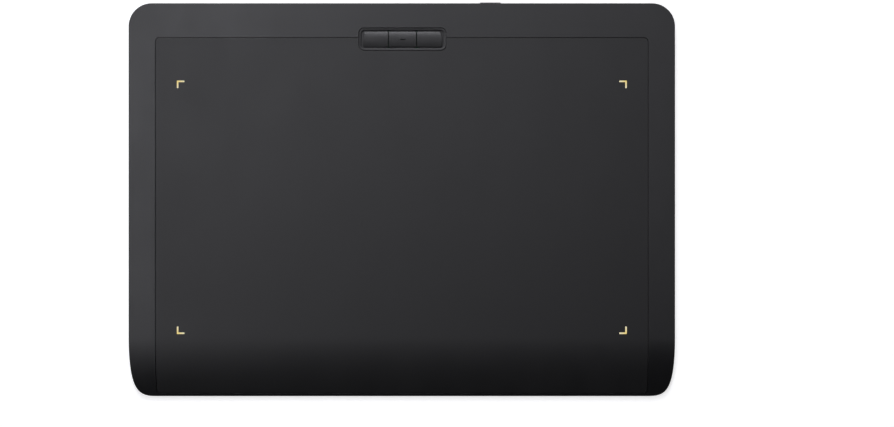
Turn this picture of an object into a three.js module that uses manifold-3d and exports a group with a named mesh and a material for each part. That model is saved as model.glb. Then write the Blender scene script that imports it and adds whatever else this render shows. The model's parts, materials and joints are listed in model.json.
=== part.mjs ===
// A medium pen drawing tablet with three shortcut keys, corner lights and a palm rest.
// Millimetres. The origin is on the desk under the middle of the tablet.
// +X is right, +Y is towards the keys and the rear edge, and +Z is up.

import * as THREE from "three";
import { mergeVertices } from "three/addons/utils/BufferGeometryUtils.js";
import Module from "manifold-3d";

const wasm = await Module();
wasm.setup();

// Overall size
const WIDTH = 320.7;
const DEPTH = 231.2;
const HEIGHT = 8;
const SIDE_X = WIDTH / 2;
const REAR_Y = DEPTH / 2;
const FRONT_Y = -DEPTH / 2;

// Outline corners: the rear ones are arcs, the front ones a longer free curve
const REAR_CORNER_RADIUS = 13.5;
const FRONT_CORNER_REACH = 15;
const FRONT_CORNER_HANDLE_X = 4.2;
const FRONT_CORNER_HANDLE_Y = 3.45;
const REAR_CORNER_STEPS = 8;
const FRONT_CORNER_STEPS = 12;

// The palm rest falls away from the flat surface on one arc
const PALM_RUN = 35;
const PALM_DROP = 5.2;
const PALM_RADIUS = (PALM_RUN ** 2 + PALM_DROP ** 2) / (2 * PALM_DROP);
const PALM_STEPS = 8;

// Shell heights and walls
const SHELL_BOTTOM = 0.8;
const FLOOR_TOP = 2;
const PARTING_HEIGHT = 3.6;
const PARTING_GAP = 0.1;
const CEILING = 1.6;
const CEILING_UNDERSIDE = HEIGHT - CEILING;
const WALL = 2.2;
const RIM_RADIUS = 0.4;
const RIM_DEPTH = 1.2;
const RIM_STEPS = 3;
const UNDERCUT = 3;
const UNDERCUT_STEPS = 4;
const CAVITY_FRONT_Y = FRONT_Y + 11.6;
const PAST = 2;

// A locating rib on the bottom cover stands just inside the top cover's wall
const RIB_INSET = WALL + 0.15;
const RIB_WIDTH = 1;
const RIB_RISE = 1;
const RIB_FRONT_Y = FRONT_Y + 15.6;

// Drawing sheet
const SHEET_HALF_WIDTH = 144.4;
const SHEET_REAR_Y = REAR_Y - 20.6;
const SHEET_FRONT_Y = FRONT_Y + 2;
const SHEET_CORNER = 2.3;
const SHEET_THICKNESS = 0.5;
const SHEET_GROOVE = 0.4;
const SHEET_BEDDING = 0.05;

// Corner lights round the active area
const LIGHT_X = 132;
const LIGHT_REAR_Y = 70.2;
const LIGHT_FRONT_Y = -78.5;
const LIGHT_ARM = 4.35;
const LIGHT_STROKE = 0.8;
const LIGHT_BOTTOM = CEILING_UNDERSIDE + 0.1;
const LIGHT_CLEARANCE = 0.12;
const LIGHT_LED_SIZE = [1.6, 0.8];
const LIGHT_LED_HEIGHT = 0.4;

// Key well, its trim ring and the keys
const WELL_X = 0.4;
const WELL_Y = 94.5;
const TRIM_OUTER = [50.9, 12.8];
const TRIM_OUTER_CORNER = 3;
const TRIM_INNER = [48.5, 10.6];
const TRIM_INNER_CORNER = 1.7;
const TRIM_POCKET_GROWTH = 1.4;
const TRIM_FLANGE_GROWTH = 3;
const TRIM_TOP = 7.9;
const TRIM_BOTTOM = 5.75;
const TRIM_POCKET_TOP = 6.5;
const TRIM_CLEARANCE = 0.4;
const TRIM_TO_CEILING = 0.1;
const SHEET_TO_TRIM = 0.45;
const KEYS_SIZE = [46.6, 9.2];
const KEYS_CORNER = 1.6;
const KEY_MIDDLE_HALF = 8.1;
const KEY_GAP = 0.3;
const KEY_BOTTOM = 5.8;
const KEY_FLANGE_TOP = 6.35;
const KEY_FLANGES_SIZE = [49, 11.3];
const KEY_FLANGES_CORNER = 2.15;
const KEY_FLANGE_INSET = 1;
const KEY_CROWN = 0.55;
const KEY_CROWN_STEPS = 8;

// Key board and its switches
const KEY_BOARD_HALF = 26;
const KEY_BOARD_Y = [88, 101];
const KEY_BOARD_Z = [2.6, 3.4];
const SWITCH_X = 15.9;
const SWITCH_SIZE = [4.6, 4.6];
const SWITCH_TOP = 5;
const PLUNGER_RADIUS = 1;
const PLUNGER_CLEARANCE = 0.25;
const PLUNGER_LENGTH = 1.45;
const PLUNGER_GAP = 0.05;

// Power slider in the rear wall, at its left stop, and the switch behind it
const SLIDER_X = [45.9, 58.2];
const SLIDER_TRAVEL = 2;
const SLIDER_Z = [4.2, 6];
const SLIDER_PROUD = 0.7;
const SLIDER_CLEARANCE = 0.15;
const SLIDER_MIDDLE = (SLIDER_X[0] + SLIDER_X[1]) / 2;
const SLIDER_PLATE_GROWTH = 1.5;
const SLIDER_PLATE_Y = [112.3, 113.2];
const SLIDER_PLATE_Z = [3.8, 6.3];
const SLIDER_ROOM_CLEARANCE = 0.2;
const SLIDE_SWITCH_X = [47.55, 58.55];
const SLIDE_SWITCH_Y = [107.6, 110.4];
const SLIDE_SWITCH_TOP = 5.6;
const LEVER_WIDTH = 1.2;
const LEVER_Z = [4.3, 5.1];
const LEVER_Y = [108.9, 112];
const LEVER_CLEARANCE_Y = 0.2;
const LEVER_CLEARANCE_Z = 0.15;
const FORK_TAB = 0.8;
const FORK_CLEARANCE = 0.1;
const FORK_FRONT_CLEARANCE = 0.4;
const FORK_REAR_OVERLAP = 0.1;

// USB-C inlet and status light in the rear wall
const USB_SIZE = [8.94, 3.26];
const USB_Z = 4.4;
const USB_Y = [108.1, 115.2];
const USB_WALL = 0.3;
const USB_CLEARANCE = 0.3;
const USB_TONGUE = [6.7, 0.7];
const USB_TONGUE_GAP = 0.05;
const USB_TONGUE_SETBACK = 1;
const STATUS_X = 65;
const STATUS_Z = 4.7;
const STATUS_RADIUS = 0.8;
const STATUS_CLEARANCE = 0.2;
const STATUS_Y = [110.7, 115.4];

// Boards and what they carry. MOUNT_GAP is the solder and glue film under a mounted piece.
const MOUNT_GAP = 0.02;
const MAIN_BOARD_Z = [2.9, 3.7];
const MAIN_BOARD_LEFT = -14;
const MAIN_BOARD_RIGHT = 104;
const MAIN_BOARD_LEG = 32;
const MAIN_BOARD_Y = [80, 110.5];
const MAIN_BOARD_STRIP_Y = 103.5;
const USB_NOTCH_CLEARANCE_X = 0.4;
const USB_NOTCH_CLEARANCE_Y = 0.2;
const SENSOR_BOARD_HALF = 138;
const SENSOR_BOARD_Y = [-86, 77];
const SENSOR_BOARD_Z = [4.9, 5.9];
const SHIELD_HALF = 137;
const SHIELD_Y = [-85, 67];
const SHIELD_Z = [4.55, 4.85];

// Pieces on the main board: spans along X and Y, and a height
const PROCESSOR_CAN = [[46, 68], [88, 104], 1.6];
const RADIO_CAN = [[78, 92], [90, 103], 1.5];
const CAN_SHEET = 0.25;
const RADIO_ANTENNA = [[97, 102], [88, 106], 1];
const SENSOR_CONNECTOR = [[44, 66], [81, 84.5], 1.2];
const BATTERY_CONNECTOR = [[-13, -7], [104.5, 108.5], 1.5];
const STATUS_LED = [[64.2, 65.8], [109.2, 110.4], 1.3];

// Flat cables. The sensor flex runs along Y and the key flex along X, each between two heights.
const FLEX_THICKNESS = 0.25;
const FLEX_GAP = 0.05;
const SENSOR_FLEX_X = [46, 64];
const SENSOR_FLEX_Y = [69, 77.5, 79.5, 80.9];
const SENSOR_FLEX_END_Z = 4.1;
const KEY_FLEX_Y = [92, 98];
const KEY_FLEX_X = [23, 28, 30.5, 37];

// Battery and its lead
const BATTERY_X = [-112, -38];
const BATTERY_Y = [80, 108];
const BATTERY_Z = [2.45, 5.85];
const BATTERY_CORNER = 2;
const PAD_INSET = 3;
const PAD_Z = [2.05, 2.4];
const LEAD_RADIUS = 0.7;
const LEAD_ROUTE = [
  [-37.7, 103, 4.2], [-33.7, 103, 4.2], [-22.3, 106.5, 4.5], [-17.3, 106.5, 4.5], [-13.3, 106.5, 4.5],
];
const LEAD_SIDES = 8;
const LEAD_STEPS = 20;

// Support ribs under the shield plate
const RIBS_ALONG_X = [-60, -20, 20, 60];
const RIBS_ALONG_Y = [-90, -30, 30, 90];
const SUPPORT_RIB_WIDTH = 1.2;
const SUPPORT_RIB_TOP = 4.5;
const SUPPORT_FOOT = 1.5;
const POST_RADIUS = 2;
const POST_GAP = 0.05;
const MAIN_BOARD_POSTS = [[-11, 106.5], [27, 106.5], [36, 84], [100, 84], [100, 106.5], [52, 106.5]];

// Cover screws, driven from below
const SCREW_PLACES = [
  ["front_left_corner", -150, -78],
  ["front_right_corner", 150, -78],
  ["left_side", -150, 5],
  ["right_side", 150, 5],
  ["rear_left_corner", -150, 96],
  ["rear_right_corner", 150, 96],
  ["front_left", -52, -96],
  ["front_right", 52, -96],
];
const SCREW_HEAD_RADIUS = 1.8;
const SCREW_HEAD_Z = [0.95, 1.85];
const SCREW_SHANK_RADIUS = 0.8;
const SCREW_TIP = 5.4;
const SCREW_CROSS = [2, 0.5, 0.45];
const SCREW_NECK = 0.1;
const BOSS_RADIUS = 3;
const BOSS_FOOT_RADIUS = 3.6;
const BOSS_SPLIT = 2.85;
const HEAD_RECESS_RADIUS = 2.2;
const HEAD_RECESS_TOP = 1.95;
const SHANK_HOLE_RADIUS = 1.15;
const PILOT_RADIUS = 1.05;
const PILOT_TOP = 5.6;

// Feet and label under the bottom cover
const FOOT_X = 112;
const FOOT_FRONT_Y = -86;
const FOOT_REAR_Y = 94;
const FOOT_SIZE = [44, 9];
const FOOT_TOP = 1.15;
const FOOT_CLEARANCE = 0.25;
const FOOT_RECESS_TOP = 1.2;
const LABEL_SIZE = [70, 30];
const LABEL_Y = 20;
const LABEL_CORNER = 2;
const LABEL_Z = [0.84, 0.98];
const LABEL_CLEARANCE = 0.15;
const LABEL_RECESS_TOP = 1;

const STADIUM_FLAT = 0.01;
const ROUND_SIDES = 16;
const CORNER_STEPS = 4;

// Finishes: one material is made from its row for each piece
const FINISHES = {
  cover: { color: 0x2e3033, roughness: 0.6, metalness: 0 },
  sheet: { color: 0x26272a, roughness: 0.8, metalness: 0 },
  light: { color: 0xf2e199, roughness: 0.4, metalness: 0, emissive: 0xf2e199 },
  trim: { color: 0x3a3b3e, roughness: 0.5, metalness: 0 },
  key: { color: 0x2b2c2f, roughness: 0.5, metalness: 0 },
  slider: { color: 0x232427, roughness: 0.5, metalness: 0 },
  rubber: { color: 0x1a1a1b, roughness: 0.95, metalness: 0 },
  screw: { color: 0x35363a, roughness: 0.4, metalness: 1 },
  label: { color: 0x3c3d40, roughness: 0.5, metalness: 0 },
  steel: { color: 0xb4b6b8, roughness: 0.35, metalness: 1 },
  contact: { color: 0x17181a, roughness: 0.5, metalness: 0 },
  lens: { color: 0xd8dcdf, roughness: 0.2, metalness: 0 },
  board: { color: 0x1d4a33, roughness: 0.6, metalness: 0 },
  battery: { color: 0x8a8d91, roughness: 0.45, metalness: 0.3 },
  foam: { color: 0x28292b, roughness: 1, metalness: 0 },
  flex: { color: 0xa86a2c, roughness: 0.5, metalness: 0 },
  lead: { color: 0x8c2420, roughness: 0.6, metalness: 0 },
  ceramic: { color: 0xe6e4dd, roughness: 0.5, metalness: 0 },
  housing: { color: 0xdedbd2, roughness: 0.6, metalness: 0 },
};

// Solids: three.js geometry goes in, manifold-3d joins and cuts, and geometry comes out

function solidOf(geometry) {
  geometry.deleteAttribute("normal");
  geometry.deleteAttribute("uv");
  const merged = mergeVertices(geometry);
  return new wasm.Manifold(new wasm.Mesh({
    numProp: 3,
    vertProperties: new Float32Array(merged.attributes.position.array),
    triVerts: new Uint32Array(merged.index.array),
  }));
}

function geometryOf(solid) {
  const mesh = solid.getMesh();
  const geometry = new THREE.BufferGeometry();
  geometry.setAttribute("position", new THREE.BufferAttribute(mesh.vertProperties, 3));
  geometry.setIndex(new THREE.BufferAttribute(mesh.triVerts, 1));
  const faceted = geometry.toNonIndexed();
  faceted.computeVertexNormals();
  return faceted;
}

function box([x0, x1], [y0, y1], [z0, z1]) {
  const geometry = new THREE.BoxGeometry(x1 - x0, y1 - y0, z1 - z0);
  geometry.translate((x0 + x1) / 2, (y0 + y1) / 2, (z0 + z1) / 2);
  return solidOf(geometry);
}

function post(x, y, [z0, z1], radius) {
  const geometry = new THREE.CylinderGeometry(radius, radius, z1 - z0, ROUND_SIDES);
  geometry.rotateX(Math.PI / 2);
  geometry.translate(x, y, (z0 + z1) / 2);
  return solidOf(geometry);
}

function roundedRectangle([width, height], radius, [x, y] = [0, 0]) {
  const right = x + width / 2 - radius;
  const left = x - width / 2 + radius;
  const top = y + height / 2 - radius;
  const bottom = y - height / 2 + radius;
  const shape = new THREE.Shape();
  shape.absarc(right, top, radius, 0, Math.PI / 2);
  shape.absarc(left, top, radius, Math.PI / 2, Math.PI);
  shape.absarc(left, bottom, radius, Math.PI, 1.5 * Math.PI);
  shape.absarc(right, bottom, radius, 1.5 * Math.PI, 2 * Math.PI);
  shape.closePath();
  return shape;
}

// A rectangle with rounded ends, which keep a sliver of flat so that the arcs don't meet
function stadium(size, centre) {
  return roundedRectangle(size, size[1] / 2 - STADIUM_FLAT, centre);
}

function extrude(shape, depth) {
  return new THREE.ExtrudeGeometry(shape, { depth, bevelEnabled: false, curveSegments: CORNER_STEPS });
}

// A shape drawn in X and Y, standing between two heights
function prism(shape, [z0, z1]) {
  return solidOf(extrude(shape, z1 - z0).translate(0, 0, z0));
}

// A shape drawn in Y and Z, running along X
function prismAlongX(shape, [x0, x1]) {
  const turn = new THREE.Matrix4().makeBasis(
    new THREE.Vector3(0, 1, 0), new THREE.Vector3(0, 0, 1), new THREE.Vector3(1, 0, 0));
  return solidOf(extrude(shape, x1 - x0).applyMatrix4(turn).translate(x0, 0, 0));
}

// A shape drawn in X and Z, running along Y
function prismAlongY(shape, [y0, y1]) {
  const turn = new THREE.Matrix4().makeBasis(
    new THREE.Vector3(1, 0, 0), new THREE.Vector3(0, 0, 1), new THREE.Vector3(0, -1, 0));
  return solidOf(extrude(shape, y1 - y0).applyMatrix4(turn).translate(0, y1, 0));
}

function polygon(points) {
  return new THREE.Shape(points.map(([a, b]) => new THREE.Vector2(a, b)));
}

function grown(size, amount) {
  return size.map((side) => side + amount);
}

// Height of the drawing surface, and of the joint between the covers, front to rear.
// The joint keeps its share of the side wall below the rim's depth, which closes up along the palm rest.

function surfaceHeight(y) {
  const run = Math.max(0, FRONT_Y + PALM_RUN - y);
  return HEIGHT - PALM_RADIUS + Math.sqrt(PALM_RADIUS ** 2 - run ** 2);
}

function partingHeight(y) {
  const share = (PARTING_HEIGHT - SHELL_BOTTOM) / (HEIGHT - RIM_DEPTH - SHELL_BOTTOM);
  return SHELL_BOTTOM + share * (surfaceHeight(y) - RIM_DEPTH - SHELL_BOTTOM);
}

// The right half of the outline, from the rear edge round to the front edge, with inward normals
function halfOutline() {
  const rear = new THREE.EllipseCurve(
    SIDE_X - REAR_CORNER_RADIUS, REAR_Y - REAR_CORNER_RADIUS,
    REAR_CORNER_RADIUS, REAR_CORNER_RADIUS, Math.PI / 2, 0, true);
  const front = new THREE.CubicBezierCurve(
    new THREE.Vector2(SIDE_X, FRONT_Y + PALM_RUN),
    new THREE.Vector2(SIDE_X, FRONT_Y + FRONT_CORNER_HANDLE_Y),
    new THREE.Vector2(SIDE_X - FRONT_CORNER_HANDLE_X, FRONT_Y),
    new THREE.Vector2(SIDE_X - FRONT_CORNER_REACH, FRONT_Y));
  const points = [];
  for (const [curve, steps] of [[rear, REAR_CORNER_STEPS], [front, FRONT_CORNER_STEPS]]) {
    for (let step = 0; step <= steps; step += 1) {
      const at = curve.getPoint(step / steps);
      const along = curve.getTangent(step / steps);
      points.push({ x: at.x, y: at.y, inX: along.y, inY: -along.x });
    }
  }
  return points;
}

const OUTLINE = halfOutline();

// A closed body from rings that follow the outline, listed from the bottom up.
// Each ring gives its inset, and its height at the inset point's y.
function outlineBody(rings) {
  const half = OUTLINE.length;
  const positions = [];
  for (const ring of rings) {
    const right = OUTLINE.map((point) => {
      const y = point.y + ring.inset * point.inY;
      return [point.x + ring.inset * point.inX, y, ring.height(y)];
    });
    const left = right.map(([x, y, z]) => [-x, y, z]).reverse();
    positions.push(...right.flat(), ...left.flat());
  }
  const around = 2 * half;
  const index = [];
  for (let level = 0; level < rings.length - 1; level += 1) {
    for (let step = 0; step < around; step += 1) {
      const low = level * around + step;
      const lowNext = level * around + (step + 1) % around;
      index.push(low, low + around, lowNext, lowNext, low + around, lowNext + around);
    }
  }
  const top = (rings.length - 1) * around;
  for (let step = 0; step < half - 1; step += 1) {
    const across = around - 1 - step;
    index.push(step, across - 1, across, step, step + 1, across - 1);
    index.push(top + step, top + across, top + across - 1, top + step, top + across - 1, top + step + 1);
  }
  const geometry = new THREE.BufferGeometry();
  geometry.setAttribute("position", new THREE.Float32BufferAttribute(positions, 3));
  geometry.setIndex(index);
  return solidOf(geometry);
}

// A straight-sided body inside the outline, between two heights that may vary along y
function insetBody(inset, low, high) {
  return outlineBody([{ inset, height: low }, { inset, height: high }]);
}

function behind(y) {
  return box([-WIDTH, WIDTH], [y, DEPTH], [-HEIGHT, 2 * HEIGHT]);
}

// A slab across the tablet between two offsets from the drawing surface
function surfaceSlab(lowOffset, highOffset) {
  const stations = [REAR_Y + PAST];
  for (let step = 0; step <= PALM_STEPS; step += 1) {
    stations.push(FRONT_Y + PALM_RUN * (1 - step / PALM_STEPS));
  }
  const low = stations.map((y) => [y, surfaceHeight(y) + lowOffset]);
  const high = stations.map((y) => [y, surfaceHeight(y) + highOffset]).reverse();
  return prismAlongX(polygon([...low, ...high]), [-SIDE_X, SIDE_X]);
}

function sheetOutline(growth, heights) {
  const depth = SHEET_REAR_Y - SHEET_FRONT_Y;
  const middle = (SHEET_REAR_Y + SHEET_FRONT_Y) / 2;
  const size = grown([2 * SHEET_HALF_WIDTH, depth], 2 * growth);
  return prism(roundedRectangle(size, SHEET_CORNER + growth, [0, middle]), heights);
}

function wellPrism(size, corner, heights) {
  return prism(roundedRectangle(size, corner, [WELL_X, WELL_Y]), heights);
}

// The L of one corner light. The signs say which corner of the active area it marks.
function cornerMark(signX, signY, growth, heights) {
  const span = (sign, length) => [-growth, length + growth].map((end) => -sign * end).sort((a, b) => a - b);
  const alongX = box(span(signX, LIGHT_ARM), span(signY, LIGHT_STROKE), heights);
  const alongY = box(span(signX, LIGHT_STROKE), span(signY, LIGHT_ARM), heights);
  return alongX.add(alongY);
}

const LIGHT_CORNERS = [
  ["rear_left", -1, 1, LIGHT_REAR_Y],
  ["rear_right", 1, 1, LIGHT_REAR_Y],
  ["front_left", -1, -1, LIGHT_FRONT_Y],
  ["front_right", 1, -1, LIGHT_FRONT_Y],
];

function cutLightSlots(solid) {
  let result = solid;
  for (const [, signX, signY, y] of LIGHT_CORNERS) {
    const slot = cornerMark(signX, signY, LIGHT_CLEARANCE, [-HEIGHT, 2 * HEIGHT]);
    result = result.subtract(slot.translate([signX * LIGHT_X, y, 0]));
  }
  return result;
}

// The openings in the rear wall, which both covers share

function usbOutline(growth) {
  return stadium(grown(USB_SIZE, growth), [0, USB_Z]);
}

function cutRearWall(solid) {
  const wallSpan = [REAR_Y - WALL - RIB_WIDTH - PAST, REAR_Y + PAST];
  const sliderHole = box(
    [SLIDER_X[0] - SLIDER_CLEARANCE, SLIDER_X[1] + SLIDER_TRAVEL + SLIDER_CLEARANCE],
    wallSpan,
    [SLIDER_Z[0] - SLIDER_CLEARANCE, SLIDER_Z[1] + SLIDER_CLEARANCE]);
  const statusHole = solidOf(
    new THREE.CylinderGeometry(
      STATUS_RADIUS + STATUS_CLEARANCE, STATUS_RADIUS + STATUS_CLEARANCE, WALL + 2 * PAST, ROUND_SIDES)
      .translate(STATUS_X, REAR_Y - WALL / 2, STATUS_Z));
  return solid
    .subtract(prismAlongY(usbOutline(2 * USB_CLEARANCE), wallSpan))
    .subtract(sliderHole)
    .subtract(statusHole);
}

function topCover() {
  const rings = [
    { inset: 0, height: (y) => partingHeight(y) + PARTING_GAP / 2 },
    { inset: 0, height: (y) => surfaceHeight(y) - RIM_RADIUS },
  ];
  for (let step = 1; step <= RIM_STEPS; step += 1) {
    const angle = (step / RIM_STEPS) * Math.PI / 2;
    rings.push({
      inset: RIM_RADIUS * (1 - Math.cos(angle)),
      height: (y) => surfaceHeight(y) - RIM_RADIUS * (1 - Math.sin(angle)),
    });
  }
  const cavity = insetBody(WALL, () => -PAST, (y) => surfaceHeight(y) - CEILING);
  let cover = outlineBody(rings).subtract(cavity.intersect(behind(CAVITY_FRONT_Y)));
  for (const [, x, y] of SCREW_PLACES) {
    const reach = surfaceHeight(y) - CEILING / 2;
    cover = cover.add(post(x, y, [BOSS_SPLIT + PARTING_GAP, reach], BOSS_RADIUS));
    cover = cover.subtract(post(x, y, [0, PILOT_TOP], PILOT_RADIUS));
  }
  const recess = surfaceSlab(-SHEET_THICKNESS - SHEET_BEDDING, HEIGHT)
    .intersect(sheetOutline(SHEET_GROOVE, [0, 2 * HEIGHT]));
  const well = wellPrism(
    grown(TRIM_OUTER, 2 * TRIM_CLEARANCE), TRIM_OUTER_CORNER + TRIM_CLEARANCE, [TRIM_BOTTOM, 2 * HEIGHT]);
  return cutRearWall(cutLightSlots(cover.subtract(recess)).subtract(well));
}

function bottomCover() {
  const rings = [];
  for (let step = 0; step <= UNDERCUT_STEPS; step += 1) {
    const angle = (step / UNDERCUT_STEPS) * Math.PI / 2;
    const rise = 1 - Math.cos(angle);
    rings.push({
      inset: UNDERCUT * (1 - Math.sin(angle)),
      height: (y) => SHELL_BOTTOM + rise * (partingHeight(y) - PARTING_GAP / 2 - SHELL_BOTTOM),
    });
  }
  const cavity = insetBody(WALL, () => FLOOR_TOP, () => HEIGHT).intersect(behind(CAVITY_FRONT_Y));
  const ribTop = (y) => partingHeight(y) + RIB_RISE;
  const rib = insetBody(RIB_INSET, () => FLOOR_TOP - RIB_WIDTH / 2, ribTop)
    .subtract(insetBody(RIB_INSET + RIB_WIDTH, () => 0, () => HEIGHT))
    .intersect(behind(RIB_FRONT_Y));
  const sliderRoom = box(
    [SLIDER_X[0] - 2 * PAST, STATUS_X + PAST], [MAIN_BOARD_Y[1], REAR_Y],
    [SLIDER_PLATE_Z[0] - SLIDER_ROOM_CLEARANCE, HEIGHT]);
  let cover = outlineBody(rings).subtract(cavity).add(rib.subtract(sliderRoom));
  cover = cover.add(supportRibs()).add(supportPosts());
  for (const [, x, y] of SCREW_PLACES) {
    cover = cover.add(post(x, y, [SUPPORT_FOOT, BOSS_SPLIT], BOSS_FOOT_RADIUS));
    cover = cover.subtract(post(x, y, [0, HEAD_RECESS_TOP], HEAD_RECESS_RADIUS));
    cover = cover.subtract(post(x, y, [0, HEIGHT], SHANK_HOLE_RADIUS));
  }
  for (const [, x, y] of FOOT_PLACES) {
    const size = grown(FOOT_SIZE, 2 * FOOT_CLEARANCE);
    cover = cover.subtract(prism(stadium(size, [x, y]), [0, FOOT_RECESS_TOP]));
  }
  const labelSize = grown(LABEL_SIZE, 2 * LABEL_CLEARANCE);
  const labelRecess = roundedRectangle(labelSize, LABEL_CORNER + LABEL_CLEARANCE, [0, LABEL_Y]);
  return cutRearWall(cover.subtract(prism(labelRecess, [0, LABEL_RECESS_TOP])));
}

// The grid that carries the shield plate, and two rails beside the battery
function supportRibs() {
  const heights = [SUPPORT_FOOT, SUPPORT_RIB_TOP];
  const half = SUPPORT_RIB_WIDTH / 2;
  const spanX = [-SHIELD_HALF + PAST, SHIELD_HALF - PAST];
  const spanY = [SHIELD_Y[0] + PAST, SHIELD_Y[1] - PAST];
  const pieces = [
    ...RIBS_ALONG_X.map((y) => box(spanX, [y - half, y + half], heights)),
    ...RIBS_ALONG_Y.map((x) => box([x - half, x + half], spanY, heights)),
    ...BATTERY_X.map((x, side) => {
      const clear = side === 0 ? x - PAST : x + PAST;
      return box([clear - half, clear + half], [BATTERY_Y[0], BATTERY_Y[1] - 3 * PAST], heights);
    }),
  ];
  return wasm.Manifold.union(pieces);
}

// Short posts under the corners of the key board and the main board
function supportPosts() {
  const keyBoard = [-1, 1].flatMap((side) => KEY_BOARD_Y.map((y, end) => post(
    side * (KEY_BOARD_HALF - POST_RADIUS), y + (end === 0 ? POST_RADIUS : -POST_RADIUS),
    [SUPPORT_FOOT, KEY_BOARD_Z[0] - POST_GAP], POST_RADIUS)));
  const mainBoard = MAIN_BOARD_POSTS.map(
    ([x, y]) => post(x, y, [SUPPORT_FOOT, MAIN_BOARD_Z[0] - POST_GAP], POST_RADIUS));
  return wasm.Manifold.union([...keyBoard, ...mainBoard]);
}

const FOOT_PLACES = [
  ["front_left", -FOOT_X, FOOT_FRONT_Y],
  ["front_right", FOOT_X, FOOT_FRONT_Y],
  ["rear_left", -FOOT_X, FOOT_REAR_Y],
  ["rear_right", FOOT_X, FOOT_REAR_Y],
];

function drawingSheet() {
  const notch = wellPrism(
    grown(TRIM_OUTER, 2 * SHEET_TO_TRIM), TRIM_OUTER_CORNER + SHEET_TO_TRIM, [0, 2 * HEIGHT]);
  const sheet = surfaceSlab(-SHEET_THICKNESS, 0).intersect(sheetOutline(0, [0, 2 * HEIGHT]));
  return cutLightSlots(sheet.subtract(notch));
}

function keyWellTrim() {
  const flange = wellPrism(
    grown(TRIM_OUTER, TRIM_FLANGE_GROWTH), TRIM_OUTER_CORNER + TRIM_FLANGE_GROWTH / 2,
    [TRIM_BOTTOM, CEILING_UNDERSIDE - TRIM_TO_CEILING]);
  const pocket = wellPrism(
    grown(TRIM_INNER, TRIM_POCKET_GROWTH), TRIM_INNER_CORNER + TRIM_POCKET_GROWTH / 2,
    [0, TRIM_POCKET_TOP]);
  return wellPrism(TRIM_OUTER, TRIM_OUTER_CORNER, [TRIM_BOTTOM, TRIM_TOP])
    .add(flange)
    .subtract(wellPrism(TRIM_INNER, TRIM_INNER_CORNER, [0, HEIGHT]))
    .subtract(pocket);
}

// One key cap, crowned front to rear. Its flange hides under the trim and closes the gap round the key.
function keyCap([left, right], flangeSpan) {
  const half = KEYS_SIZE[1] / 2;
  const radius = (half ** 2 + KEY_CROWN ** 2) / (2 * KEY_CROWN);
  const section = [[half, KEY_BOTTOM]];
  for (let step = 0; step <= KEY_CROWN_STEPS; step += 1) {
    const y = half * (1 - 2 * step / KEY_CROWN_STEPS);
    section.push([y, HEIGHT - radius + Math.sqrt(radius ** 2 - y ** 2)]);
  }
  section.push([-half, KEY_BOTTOM]);
  const flangeHeights = [KEY_BOTTOM, KEY_FLANGE_TOP];
  const flange = prism(roundedRectangle(KEY_FLANGES_SIZE, KEY_FLANGES_CORNER), flangeHeights)
    .intersect(box(flangeSpan, [-DEPTH, DEPTH], flangeHeights));
  return prismAlongX(polygon(section), [left, right])
    .intersect(prism(roundedRectangle(KEYS_SIZE, KEYS_CORNER), [0, 2 * HEIGHT]))
    .add(flange);
}

function switchBody() {
  const [width, depth] = SWITCH_SIZE;
  const floor = KEY_BOARD_Z[1] + MOUNT_GAP;
  const wellFloor = SWITCH_TOP - PLUNGER_LENGTH;
  return box([-width / 2, width / 2], [-depth / 2, depth / 2], [floor, SWITCH_TOP])
    .subtract(post(0, 0, [wellFloor, HEIGHT], PLUNGER_RADIUS + PLUNGER_CLEARANCE));
}

function switchPlunger() {
  const top = KEY_BOTTOM - PLUNGER_GAP;
  return post(0, 0, [top - PLUNGER_LENGTH, top], PLUNGER_RADIUS);
}

// The slider cap: the nub in the wall, the plate that keeps it in, and a fork for the switch lever
function sliderCap() {
  const [left, right] = SLIDER_X;
  const size = [right - left, SLIDER_Z[1] - SLIDER_Z[0]];
  const height = (SLIDER_Z[0] + SLIDER_Z[1]) / 2;
  const nub = prismAlongY(
    roundedRectangle(size, size[1] / 3, [SLIDER_MIDDLE, height]), [SLIDER_PLATE_Y[0], REAR_Y + SLIDER_PROUD]);
  const plateX = [left - SLIDER_PLATE_GROWTH, right + SLIDER_PLATE_GROWTH];
  const plate = box(plateX, SLIDER_PLATE_Y, SLIDER_PLATE_Z);
  const inner = LEVER_WIDTH / 2 + FORK_CLEARANCE;
  const forkY = [MAIN_BOARD_Y[1] + FORK_FRONT_CLEARANCE, SLIDER_PLATE_Y[0] + FORK_REAR_OVERLAP];
  const tabs = [-inner - FORK_TAB, inner].map((x) => box(
    [SLIDER_MIDDLE + x, SLIDER_MIDDLE + x + FORK_TAB], forkY, LEVER_Z));
  return wasm.Manifold.union([nub, plate, ...tabs]);
}

function slideSwitchBody() {
  const slot = box(
    [SLIDER_MIDDLE - LEVER_WIDTH, SLIDER_MIDDLE + LEVER_WIDTH + SLIDER_TRAVEL],
    [LEVER_Y[0] - LEVER_CLEARANCE_Y, REAR_Y],
    [LEVER_Z[0] - LEVER_CLEARANCE_Z, LEVER_Z[1] + LEVER_CLEARANCE_Z]);
  return box(SLIDE_SWITCH_X, SLIDE_SWITCH_Y, [MAIN_BOARD_Z[1] + MOUNT_GAP, SLIDE_SWITCH_TOP]).subtract(slot);
}

function usbShell() {
  const hollow = prismAlongY(usbOutline(-2 * USB_WALL), [USB_Y[0] + USB_WALL, REAR_Y]);
  return prismAlongY(usbOutline(0), USB_Y).subtract(hollow);
}

function usbTongue() {
  const span = [USB_Y[0] + USB_WALL + USB_TONGUE_GAP, USB_Y[1] - USB_TONGUE_SETBACK];
  return prismAlongY(roundedRectangle(USB_TONGUE, USB_TONGUE[1] / 3, [0, USB_Z]), span);
}

function statusLens() {
  const [inner, outer] = STATUS_Y;
  return solidOf(new THREE.CylinderGeometry(STATUS_RADIUS, STATUS_RADIUS, outer - inner, ROUND_SIDES)
    .translate(STATUS_X, (inner + outer) / 2, STATUS_Z));
}

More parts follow.
